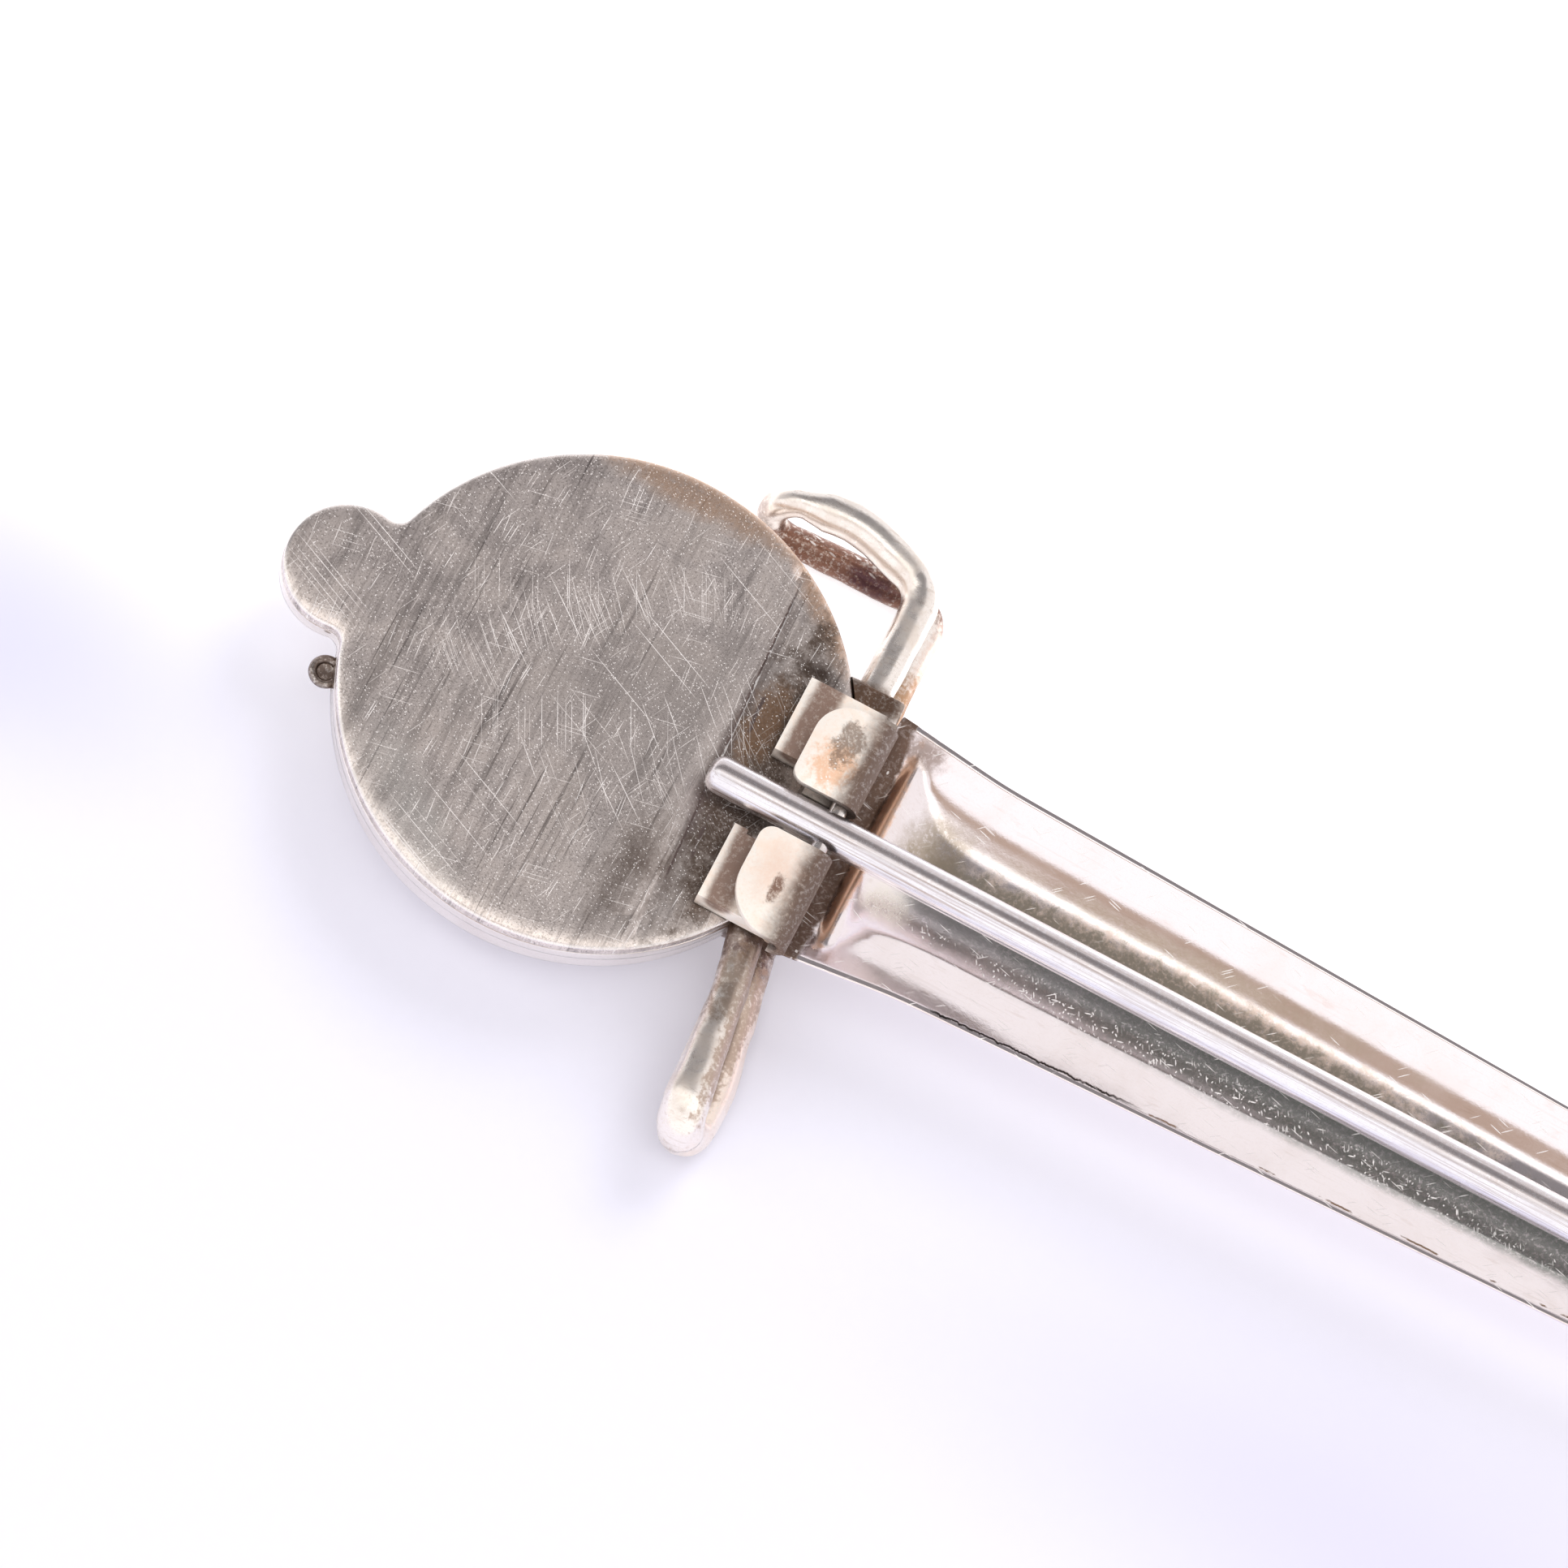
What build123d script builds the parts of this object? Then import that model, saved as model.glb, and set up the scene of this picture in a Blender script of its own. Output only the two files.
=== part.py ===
from build123d import *
import os
from math import acos, atan2, degrees, hypot, radians, sin, tan

# Kilt pin in the form of a basket-hilted sword, lying face down, back upwards.
# Built about the middle of the round hilt plate: +X runs to the blade's tip, +Y across,
# and z = 0 is the surface that the pin lies on. Millimetres.

# Fits
SEAM = 0.02             # solder seam between parts that are made apart
RIVET_PRESS_GAP = 0.02  # rivet in the folded strip
PIVOT_GAP = 0.05        # rivet in the bore of the stem, radial
CATCH_GAP = 0.12        # stem in the catch, radial
CUT_SPARE = 1.0         # how far a cutting shape reaches past the metal

# Hilt: a cast front with a side wall, closed by a flat back plate
HILT_R = 8.72           # round basket
HILT_DEPTH = 3.6        # back face of the plate down to the flat top of the basket
HILT_WALL_H = 1.9       # straight side wall, plate included
BASKET_FLAT_R = 3.0     # flat at the middle of the basket, which it lies on
SHELL_T = 0.6           # wall of the casting
LEDGE = 0.03            # each lower stage of the casting stands this far inside the one above
PLATE_T = 0.6
DOME_FULLNESS = 0.9     # 1 makes the dome leave its flat without an edge
POMMEL_R = 2.22
POMMEL_OUT = 0.63       # its middle lies this far past the edge of the basket
POMMEL_Y = 0.12         # off the line of the blade
POMMEL_WALL_H = 1.2
POMMEL_DEPTH = 2.2
POMMEL_FLAT_R = 0.7
NECK_FILLET_R = 0.55    # soft notches between basket and pommel

# Small curl of the front ornament that shows in the notch
CURL_R = 0.44
CURL_WIRE_R = 0.15
CURL_OUT = 0.2          # its middle lies this far past the edge of the basket
CURL_PLACE_DEG = 199.3  # round the basket, from the blade
CURL_DROP = 1.8         # below the back face
CURL_ARC_DEG = 260.0
CURL_START_DEG = 125.0

# Guard: a bar across the blade's root with a wire loop at each end
GUARD_REACH = 0.52      # past the edge of the basket
GUARD_WIDTH = 2.3
GUARD_RIGHT_END = 5.0
GUARD_LEFT_END = 4.5
GUARD_DEPTH = 2.4
LOOP_WIRE_R = 0.65
LOOP_SEAT = 0.4         # how deep the wire's ends sit in the bar
LOOP_LIFT = 0.0         # lowest strand above the surface
LOOP_HIGH_DROP = 0.95   # axis of the high strand below the back face
LOOP_ROOT_RISE = 0.65   # the low strand climbs this much towards the bar
LOOP_TURN_R = 0.95      # turn at the loop's free end

# Right loop, bent round towards the pommel
RIGHT_OUT = 0.76        # edge of the basket to the axis of the high strand at its corner
RIGHT_HOOK = 5.54       # length of the bent part, towards the pommel
RIGHT_CROWN_X = 2.9     # the bent part bulges outwards here, from the corner
RIGHT_CROWN = 0.87      # and by this much
RIGHT_END_Y = 0.1       # the free end lies this much further out than the corner
RIGHT_CORNER_R = 1.2
RIGHT_CROWN_R = 3.0
RIGHT_SPREAD = 0.62     # the low strand runs this much nearer to the blade
RIGHT_LOW_OUT = 0.98    # the same for the low strand
RIGHT_LOW_LEAN = 0.45
RIGHT_LOW_CORNER_R = 1.2

# Left loop, straight out
LEFT_REACH = 6.95
LEFT_OFFSET = 0.2       # its high strand lies this far from the bar's middle
LEFT_SPREAD = 0.5
LEFT_LEAN = 0.6

# Blade: a hollow trough with a ridge along its front
BLADE_LENGTH = 65.7
BLADE_Y = -0.1          # the blade's middle line
BLADE_ROOT_HALF = 4.77
FLARE_LENGTH = 4.5      # the root narrows quickly over this length
FLARE_HALF = 4.25
BLADE_END_HALF = 2.42   # where the point begins
POINT_LENGTH = 9.0
POINT_TIP_HALF = 0.35
POINT_TIP_DEPTH = 0.8
RIM_DROP = 0.2          # rims below the back face of the hilt
RIM_T = 0.25
TROUGH_DEPTH = 1.0
TROUGH_WALL_SHARE = 0.52  # part of the half width that a sloping wall takes
WEB_T = 0.5             # metal under the trough
RIDGE_H = 0.6
RIDGE_SHOULDER = 0.15   # the front's shoulder lies this far outside the trough's base
TROUGH_END_X = 0.85     # bar to the sloping end wall, at its top
TROUGH_END_SLOPE = 0.5
TROUGH_END_T = 0.25
TROUGH_END_DROP = 0.35  # the end wall's crest below the rims
TROUGH_POINT_LENGTH = 4.5

# Hinge: a slotted strip folded round a rivet, on a low shelf
HINGE_BACK = 0.39       # rivet back from the guard's edge on the blade side
HINGE_Y = -0.75         # the hinge sits a little to one side
HINGE_H = 1.2           # rivet above the back face
RIVET_R = 0.3
STRIP_T = 0.3
STRIP_WIDTH = 8.66
STRIP_Y = -0.97         # middle of the strip
STRIP_SLOT = 2.2        # between the tabs, for the stem
SHELF_REACH = 2.85      # shelf back from the rivet, over the plate
SHELF_WIDTH = 8.7
SHELF_Y = -0.4          # middle of the shelf
SHELF_SLOT = 3.0
TAB_REACH = 1.98        # folded tabs back from the rivet
TAB_RIGHT_R = 1.25      # outer corner of the right tab
TAB_LEFT_R = 1.8
TAB_INNER_R = 0.5
BRIDGE_REACH = 1.35     # bridge between the halves of the shelf, back from the rivet
BRIDGE_T = 0.25
SHELF_END = 0.45        # shelf past the rivet, towards the blade
RIVET_END_GAP = 0.15    # the rivet stops this short of the strip's side

# Stem
STEM_R = 0.65
TAIL_REACH = 4.45       # tail back from the rivet
TAIL_ROUND = 0.45
STEM_SHORT = 2.96       # the stem ends this far before the blade's tip
STEM_TAPER = 8.5
STEM_POINT_R = 0.12

# Catch: an open hook on a post, plain because the photo does not reach it
CATCH_FROM_POINT = 4.96  # its middle, back from where the blade's point begins
CATCH_LENGTH = 2.4
CATCH_T = 0.4
CATCH_POST = 1.0
CATCH_CHEEK = 0.25      # short cheek above the stem's axis
CATCH_LIP = 0.7         # tall cheek above the stem's axis

# Heights and places that follow
back_z = HILT_DEPTH
wall_z = back_z - HILT_WALL_H
pommel_z = back_z - POMMEL_WALL_H
shell_top_z = back_z - PLATE_T - SEAM
pommel_x = -(HILT_R + POMMEL_OUT)
guard_x1 = HILT_R + GUARD_REACH
guard_x0 = guard_x1 - GUARD_WIDTH
guard_x = (guard_x0 + guard_x1) / 2
rim_z = back_z - RIM_DROP
trough_z = rim_z - TROUGH_DEPTH
blade_x0 = guard_x1 + SEAM
blade_x1 = blade_x0 + BLADE_LENGTH
flare_x = blade_x0 + FLARE_LENGTH
point_x = blade_x1 - POINT_LENGTH
stem_x1 = blade_x1 - STEM_SHORT
catch_x = point_x - CATCH_FROM_POINT
hinge_x = guard_x1 - HINGE_BACK
hinge_z = back_z + HINGE_H
shelf_x = hinge_x - SHELF_REACH
tab_x = hinge_x - TAB_REACH
bridge_x = hinge_x - BRIDGE_REACH
tail_x = hinge_x - TAIL_REACH
fold_in_r = RIVET_R + RIVET_PRESS_GAP
fold_out_r = fold_in_r + STRIP_T


def block(x0, x1, y0, y1, z0, z1):
    """Box between two corners."""
    middle = ((x0 + x1) / 2, (y0 + y1) / 2, (z0 + z1) / 2)
    return Pos(*middle) * Box(x1 - x0, y1 - y0, z1 - z0)


def corner_angle(beside, other, opposite):
    """Angle in degrees of a triangle between two sides, from its three sides."""
    return degrees(acos((beside ** 2 + other ** 2 - opposite ** 2) / (2 * beside * other)))


def hilt_outline(grow=0.0):
    """Round basket and pommel in one outline, with a soft notch on each side between them."""
    apart = hypot(pommel_x, POMMEL_Y)
    basket_side = HILT_R + NECK_FILLET_R
    pommel_side = POMMEL_R + NECK_FILLET_R
    lean = degrees(atan2(POMMEL_Y, pommel_x))
    at_basket = corner_angle(apart, basket_side, pommel_side)
    at_pommel = corner_angle(apart, pommel_side, basket_side)
    edges = [CenterArc((0, 0), HILT_R + grow, lean + at_basket, 360 - 2 * at_basket),
             CenterArc((pommel_x, POMMEL_Y), POMMEL_R + grow, lean + 180 + at_pommel,
                       360 - 2 * at_pommel)]
    for side in (-1, 1):
        notch = (Rot(0, 0, lean + side * at_basket) * Pos(basket_side, 0)).position
        edges.append(CenterArc((notch.X, notch.Y), NECK_FILLET_R - grow,
                               lean + 180 + side * at_basket,
                               side * (180 - at_basket - at_pommel)))
    return make_face(edges)


def dome(radius, flat_r, floor_z, side_z, top_z):
    """Rounded front that ends in a flat at floor_z, with a straight side from side_z up."""
    run = radius - flat_r
    rise = side_z - floor_z
    half_chord = hypot(run, rise) / 2
    sagitta = DOME_FULLNESS * half_chord * tan(atan2(rise, run) / 2)
    middle_r = (radius + flat_r) / 2 + sagitta * rise / (2 * half_chord)
    middle_z = (side_z + floor_z) / 2 - sagitta * run / (2 * half_chord)
    profile = Polyline((flat_r, 0, floor_z), (0, 0, floor_z), (0, 0, top_z),
                       (radius, 0, top_z), (radius, 0, side_z))
    profile += ThreePointArc((radius, 0, side_z), (middle_r, 0, middle_z), (flat_r, 0, floor_z))
    return revolve(make_face(profile), Axis.Z)


def front_curl():
    """Curl of the front ornament, part of a ring lying flat beside the notch."""
    ring = Torus(CURL_R, CURL_WIRE_R, major_angle=CURL_ARC_DEG)
    place = Rot(0, 0, CURL_PLACE_DEG) * Pos(HILT_R + CURL_OUT, 0, back_z - CURL_DROP)
    return place * Rot(0, 0, CURL_START_DEG - CURL_PLACE_DEG) * ring


def guard_bar():
    """Bar across the blade's root, cut clear of the back plate."""
    bar = block(guard_x0, guard_x1, -GUARD_LEFT_END, GUARD_RIGHT_END,
                back_z - GUARD_DEPTH, back_z)
    plate_room = extrude(hilt_outline(SEAM), PLATE_T + SEAM + CUT_SPARE)
    return bar - Pos(0, 0, shell_top_z) * plate_room


def wire(points, radii, radius):
    """Round wire along straight runs that are joined by arcs."""
    path = FilletPolyline(*points, radius=radii)
    start = Plane(origin=path @ 0, z_dir=path % 0)
    return sweep(start * Circle(radius), path)


def loop_heights():
    """Axis heights of the high strand, the low strand and the low strand's root."""
    high_z = back_z - LOOP_HIGH_DROP
    low_z = LOOP_LIFT + LOOP_WIRE_R
    return high_z, low_z, low_z + LOOP_ROOT_RISE


def right_loop():
    """Wire hairpin that leaves the bar, bends towards the pommel and comes back below."""
    high_z, low_z, root_z = loop_heights()
    root_y = GUARD_RIGHT_END - LOOP_SEAT
    corner_y = HILT_R + RIGHT_OUT
    low_y = HILT_R + RIGHT_LOW_OUT
    low_x = guard_x + RIGHT_SPREAD
    end_x = guard_x - RIGHT_HOOK
    points = [(guard_x, root_y, high_z), (guard_x, corner_y, high_z),
              (guard_x - RIGHT_CROWN_X, corner_y + RIGHT_CROWN, high_z),
              (end_x, corner_y + RIGHT_END_Y, high_z), (end_x, low_y - RIGHT_LOW_LEAN, low_z),
              (low_x, low_y, low_z), (low_x, root_y, root_z)]
    radii = [RIGHT_CORNER_R, RIGHT_CROWN_R, LOOP_TURN_R, LOOP_TURN_R, RIGHT_LOW_CORNER_R]
    return wire(points, radii, LOOP_WIRE_R)


def left_loop():
    """Wire hairpin that leaves the bar straight and comes back below."""
    high_z, low_z, root_z = loop_heights()
    root_y = LOOP_SEAT - GUARD_LEFT_END
    out_y = -GUARD_LEFT_END - LEFT_REACH
    high_x = guard_x + LEFT_OFFSET
    points = [(high_x, root_y, high_z), (high_x + LEFT_LEAN, out_y, high_z),
              (high_x + LEFT_LEAN + LEFT_SPREAD, out_y, low_z),
              (high_x + LEFT_SPREAD, root_y, root_z)]
    return wire(points, [LOOP_TURN_R, LOOP_TURN_R], LOOP_WIRE_R)


def hilt_basket():
    """Cast front of the hilt: hollow basket, pommel, curl, guard bar and both loops."""
    rim = Pos(0, 0, pommel_z) * extrude(hilt_outline(), shell_top_z - pommel_z)
    wall = rim + Pos(0, 0, wall_z) * extrude(Circle(HILT_R - LEDGE), shell_top_z - wall_z)
    root_z = (pommel_z + shell_top_z) / 2
    basket = dome(HILT_R - 2 * LEDGE, BASKET_FLAT_R, 0, wall_z, root_z)
    pommel = Pos(pommel_x, POMMEL_Y, 0) * dome(
        POMMEL_R - LEDGE, POMMEL_FLAT_R, back_z - POMMEL_DEPTH, pommel_z, root_z)
    hollow = dome(HILT_R - SHELL_T, BASKET_FLAT_R, SHELL_T, wall_z, shell_top_z + CUT_SPARE)
    front = wall + basket + pommel + front_curl() + guard_bar() - hollow
    return front + right_loop() + left_loop()


def hilt_back_plate():
    """Flat plate that closes the hilt, flush with its side wall."""
    return Pos(0, 0, back_z - PLATE_T) * extrude(hilt_outline(), PLATE_T)


def blade_plane(x):
    """Plane across the blade: its own x runs along +Y and its own y up."""
    return Plane(origin=(x, 0, 0), x_dir=(0, 1, 0), z_dir=(1, 0, 0))


def blade_section(x, half, depth):
    """Outside of the blade at x: flat back, sloping sides, low ridge in front."""
    shoulder = half * (1 - TROUGH_WALL_SHARE) + RIDGE_SHOULDER
    shoulder_z = rim_z - depth * (TROUGH_DEPTH + WEB_T) / blade_depth()
    points = [(-half, rim_z), (half, rim_z), (shoulder, shoulder_z),
              (0, rim_z - depth), (-shoulder, shoulder_z)]
    return blade_plane(x) * make_face(Polyline(*points, close=True))


def trough_section(x, half, depth):
    """Inside of the trough at x, open above the rims."""
    lip = half - RIM_T
    base = half * (1 - TROUGH_WALL_SHARE)
    points = [(-lip, rim_z + CUT_SPARE), (-lip, rim_z), (-base, rim_z - depth),
              (base, rim_z - depth), (lip, rim_z), (lip, rim_z + CUT_SPARE)]
    return blade_plane(x) * make_face(Polyline(*points, close=True))


def blade_depth():
    """Rims to the front ridge."""
    return TROUGH_DEPTH + WEB_T + RIDGE_H


def trough():
    """Hollow of the blade, from the bar to where the point turns solid."""
    end_share = TROUGH_POINT_LENGTH / POINT_LENGTH
    end_half = BLADE_END_HALF + (POINT_TIP_HALF - BLADE_END_HALF) * end_share
    root = loft([trough_section(blade_x0 - CUT_SPARE, BLADE_ROOT_HALF, TROUGH_DEPTH),
                 trough_section(flare_x, FLARE_HALF, TROUGH_DEPTH)], ruled=True)
    straight = loft([trough_section(flare_x, FLARE_HALF, TROUGH_DEPTH),
                     trough_section(point_x, BLADE_END_HALF, TROUGH_DEPTH)], ruled=True)
    end = loft([trough_section(point_x, BLADE_END_HALF, TROUGH_DEPTH),
                trough_section(point_x + TROUGH_POINT_LENGTH, end_half,
                               TROUGH_DEPTH * end_share)], ruled=True)
    return root + straight + end


def trough_end_wall(hollow):
    """Sloping wall that closes the trough next to the hinge."""
    crest_z = rim_z - TROUGH_END_DROP
    top_x = guard_x1 + TROUGH_END_X
    base_x = top_x + TROUGH_END_SLOPE
    points = [(top_x, 0, crest_z), (top_x + TROUGH_END_T, 0, crest_z),
              (base_x + TROUGH_END_T, 0, trough_z - WEB_T / 2), (base_x, 0, trough_z - WEB_T / 2)]
    face = make_face(Polyline(*points, close=True))
    wall = extrude(face, BLADE_ROOT_HALF, dir=(0, 1, 0), both=True)
    return wall & hollow


def blade():
    """Hollow blade with a pointed end, its trough open to the back."""
    root = loft([blade_section(blade_x0, BLADE_ROOT_HALF, blade_depth()),
                 blade_section(flare_x, FLARE_HALF, blade_depth())], ruled=True)
    straight = loft([blade_section(flare_x, FLARE_HALF, blade_depth()),
                     blade_section(point_x, BLADE_END_HALF, blade_depth())], ruled=True)
    point = loft([blade_section(point_x, BLADE_END_HALF, blade_depth()),
                  blade_section(blade_x1, POINT_TIP_HALF, POINT_TIP_DEPTH)], ruled=True)
    hollow = trough()
    return Pos(0, BLADE_Y, 0) * (root + straight + point - hollow + trough_end_wall(hollow))


def along_y(x, y, z, radius, length):
    """Cylinder along Y, centred at the given place."""
    return Pos(x, y, z) * Rot(90, 0, 0) * Cylinder(radius, length)


def hinge_tab(side, outer_r):
    """One folded tab with rounded corners, and the fold that it comes out of."""
    inner_y = side * STRIP_SLOT / 2
    outer_y = side * STRIP_WIDTH / 2
    width = (STRIP_WIDTH - STRIP_SLOT) / 2
    middle_y = (inner_y + outer_y) / 2
    plan = Pos((tab_x + hinge_x) / 2, middle_y) * Rectangle(hinge_x - tab_x, width)
    outer = [v for v in plan.vertices() if v.X < hinge_x - SEAM and abs(v.Y) > abs(middle_y)]
    plan = fillet(outer, outer_r)
    inner = [v for v in plan.vertices() if v.X < tab_x + SEAM and abs(v.Y) < abs(inner_y) + SEAM]
    plan = fillet(inner, TAB_INNER_R)
    leaf = Pos(0, 0, hinge_z + fold_in_r) * extrude(plan, STRIP_T)
    ring = along_y(hinge_x, middle_y, hinge_z, fold_out_r, width)
    ring -= along_y(hinge_x, middle_y, hinge_z, fold_in_r, width + CUT_SPARE)
    fold = ring & block(hinge_x, hinge_x + 2 * fold_out_r, -STRIP_WIDTH, STRIP_WIDTH,
                        hinge_z - fold_out_r, hinge_z + fold_out_r)
    return Pos(0, STRIP_Y, 0) * (leaf + fold)


def hinge_bracket():
    """Strip folded over the rivet, its lower leaf on a shelf, slotted for the stem."""
    shelf_z = back_z + SEAM
    low_y = SHELF_Y - SHELF_WIDTH / 2
    high_y = SHELF_Y + SHELF_WIDTH / 2
    shelf = block(shelf_x, hinge_x + SHELF_END, low_y, high_y, shelf_z, hinge_z - fold_out_r)
    leaf = block(shelf_x, hinge_x, low_y, high_y, hinge_z - fold_out_r, hinge_z - fold_in_r)
    shelf_slot = block(shelf_x - CUT_SPARE, bridge_x, SHELF_Y - SHELF_SLOT / 2,
                       SHELF_Y + SHELF_SLOT / 2, shelf_z - CUT_SPARE, hinge_z)
    stem_slot = block(bridge_x - CUT_SPARE, hinge_x + CUT_SPARE, STRIP_Y - STRIP_SLOT / 2,
                      STRIP_Y + STRIP_SLOT / 2, shelf_z + BRIDGE_T, hinge_z)
    tabs = hinge_tab(1, TAB_RIGHT_R) + hinge_tab(-1, TAB_LEFT_R)
    return shelf + leaf - shelf_slot - stem_slot + tabs


def hinge_rivet():
    """Plain rivet through the fold and the stem."""
    return along_y(hinge_x, STRIP_Y, hinge_z, RIVET_R, STRIP_WIDTH - 2 * RIVET_END_GAP)


def stem():
    """Round wire with a short tail, a bore for the rivet and a tapered point."""
    taper_x = stem_x1 - STEM_TAPER
    tail = TAIL_ROUND * (1 - sin(radians(45)))
    lines = Polyline((tail_x, 0), (stem_x1, 0), (stem_x1, STEM_POINT_R),
                     (taper_x, STEM_R), (tail_x + TAIL_ROUND, STEM_R))
    lines += ThreePointArc((tail_x + TAIL_ROUND, STEM_R), (tail_x + tail, STEM_R - tail),
                           (tail_x, STEM_R - TAIL_ROUND))
    lines += Line((tail_x, STEM_R - TAIL_ROUND), (tail_x, 0))
    wire_solid = Pos(0, HINGE_Y, hinge_z) * revolve(make_face(lines), Axis.X)
    return wire_solid - along_y(hinge_x, HINGE_Y, hinge_z, RIVET_R + PIVOT_GAP, 4 * STEM_R)


def catch():
    """Open hook that holds the stem from below, one cheek taller, on a post."""
    bore_r = STEM_R + CATCH_GAP
    outer_r = bore_r + CATCH_T
    plane = Plane(origin=(catch_x, HINGE_Y, hinge_z), x_dir=(0, 1, 0), z_dir=(1, 0, 0))
    post_h = hinge_z - trough_z - SEAM
    hook = Circle(outer_r)
    hook += Pos(0, -post_h / 2) * Rectangle(CATCH_POST, post_h)
    hook += Pos(0, CATCH_LIP / 2) * Rectangle(2 * outer_r, CATCH_LIP)
    hook -= Circle(bore_r)
    hook -= Pos(0, (outer_r + CUT_SPARE) / 2) * Rectangle(2 * bore_r, outer_r + CUT_SPARE)
    hook -= Pos(0, CATCH_LIP + outer_r) * Rectangle(4 * outer_r, 2 * outer_r)
    hook -= Pos(outer_r, CATCH_CHEEK + outer_r) * Rectangle(2 * outer_r, 2 * outer_r)
    return extrude(plane * hook, CATCH_LENGTH / 2, both=True)


def write_parts():
    """Writes each piece, moved so that the origin is under the middle of the whole."""
    pieces = {
        "hilt_basket": hilt_basket(),
        "hilt_back_plate": hilt_back_plate(),
        "blade": blade(),
        "hinge_bracket": hinge_bracket(),
        "hinge_rivet": hinge_rivet(),
        "stem": stem(),
        "catch": catch(),
    }
    box = Compound(children=[Part() + piece for piece in pieces.values()]).bounding_box()
    middle_x = (box.min.X + box.max.X) / 2
    middle_y = (box.min.Y + box.max.Y) / 2
    os.makedirs("parts", exist_ok=True)
    for name, piece in pieces.items():
        export_step(Pos(-middle_x, -middle_y, -box.min.Z) * piece, f"parts/{name}.step")
    print(f"box {box.min} to {box.max}")
    print(f"hinge at {hinge_x - middle_x:.4f} {HINGE_Y - middle_y:.4f} {hinge_z - box.min.Z:.4f}")
    print(f"basket flat at {-middle_x:.4f} {-middle_y:.4f} {-box.min.Z:.4f}")


write_parts()
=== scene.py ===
import logging
import math
from collections.abc import Callable, Iterator
from contextlib import contextmanager
from dataclasses import dataclass
from enum import Enum

import bmesh
import bpy
from mathutils import Matrix, Vector


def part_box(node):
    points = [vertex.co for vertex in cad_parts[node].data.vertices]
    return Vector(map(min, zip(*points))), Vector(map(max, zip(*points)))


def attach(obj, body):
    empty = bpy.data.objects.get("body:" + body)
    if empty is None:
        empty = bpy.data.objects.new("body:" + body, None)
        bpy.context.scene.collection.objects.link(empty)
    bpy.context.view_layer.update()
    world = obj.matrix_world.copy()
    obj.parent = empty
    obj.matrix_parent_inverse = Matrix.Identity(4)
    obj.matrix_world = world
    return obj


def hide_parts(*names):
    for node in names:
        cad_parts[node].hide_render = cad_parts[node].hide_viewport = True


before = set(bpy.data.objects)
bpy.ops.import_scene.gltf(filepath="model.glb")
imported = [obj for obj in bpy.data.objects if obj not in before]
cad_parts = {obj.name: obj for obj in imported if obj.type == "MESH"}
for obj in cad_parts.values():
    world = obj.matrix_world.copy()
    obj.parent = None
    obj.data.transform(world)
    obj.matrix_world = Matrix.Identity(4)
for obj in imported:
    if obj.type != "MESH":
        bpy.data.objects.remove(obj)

log = logging.getLogger("kilt_pin")

MM = 0.001

# How near points are merged, in millimetres, for closed meshes, outlines and worn copies.
MERGE = 0.001
OUTLINE_MERGE = 0.005
COPY_MERGE = 0.0005

# Degrees that an edge of a worn copy turns before it is kept, or rounded.
COPY_FLAT = 0.5
COPY_SHARP = 35.0

Test = Callable[[Vector], bool]
Colour = tuple[float, float, float]
Place = tuple[float, float, float]
Socket = bpy.types.NodeSocket
Value = Socket | float
Given = Value | Place | Vector


class Body(Enum):
    """Bodies of the frame that a piece can ride on."""

    PIN = "pin_body"
    STEM = "stem"


class Slot(Enum):
    """Material slots of the record."""

    CAST = "cast_silver"
    PLATE = "plate_silver"
    BLADE = "blade_silver"
    BRACKET = "bracket_silver"
    STEM = "stem_silver"
    FITTING = "fitting_silver"


# Where things are


def plate_middle(radius: float) -> Vector:
    """Finds the middle of the round hilt plate in the frame.

    Args:
        radius: Radius of the plate in millimetres.

    Returns:
        The point on the lying surface under the middle of the plate, in metres.
    """
    low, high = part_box("hilt_back_plate")
    return Vector((high.x - radius * MM, (low.y + high.y) / 2, 0.0))


PLATE_R = 8.72
BACK_Z = 3.6
ORIGIN = plate_middle(PLATE_R)


def at(x: float, y: float, z: float) -> Vector:
    """Turns millimetres from the middle of the hilt plate into the frame's metres.

    Args:
        x: Towards the blade's tip.
        y: Across the blade.
        z: Above the lying surface.

    Returns:
        The point in the frame.
    """
    return ORIGIN + Vector((x, y, z)) * MM


def seen_at(x: float, y: float, z: float) -> Vector:
    """Gives a point of the frame in millimetres from the middle of the hilt plate."""
    return (Vector((x, y, z)) - ORIGIN) / MM


# Hand work in edit mode


@contextmanager
def editing(obj: bpy.types.Object) -> Iterator[None]:
    """Opens one object alone in edit mode and closes it again.

    Args:
        obj: The mesh object to work on.

    Returns:
        Hands over nothing while the object is open.
    """
    bpy.ops.object.select_all(action="DESELECT")
    obj.select_set(True)
    bpy.context.view_layer.objects.active = obj
    bpy.ops.object.mode_set(mode="EDIT")
    bpy.ops.mesh.select_mode(type="VERT")
    yield
    bpy.ops.object.mode_set(mode="OBJECT")


def settle(name: str) -> bpy.types.Object:
    """Names the primitive just added and puts its place into its mesh.

    Args:
        name: Name of the new piece.

    Returns:
        The new object, at the origin and unturned.
    """
    obj = bpy.context.view_layer.objects.active
    obj.name = name
    obj.data.name = name
    bpy.ops.object.transform_apply(location=True, rotation=True, scale=True)
    return obj


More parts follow.
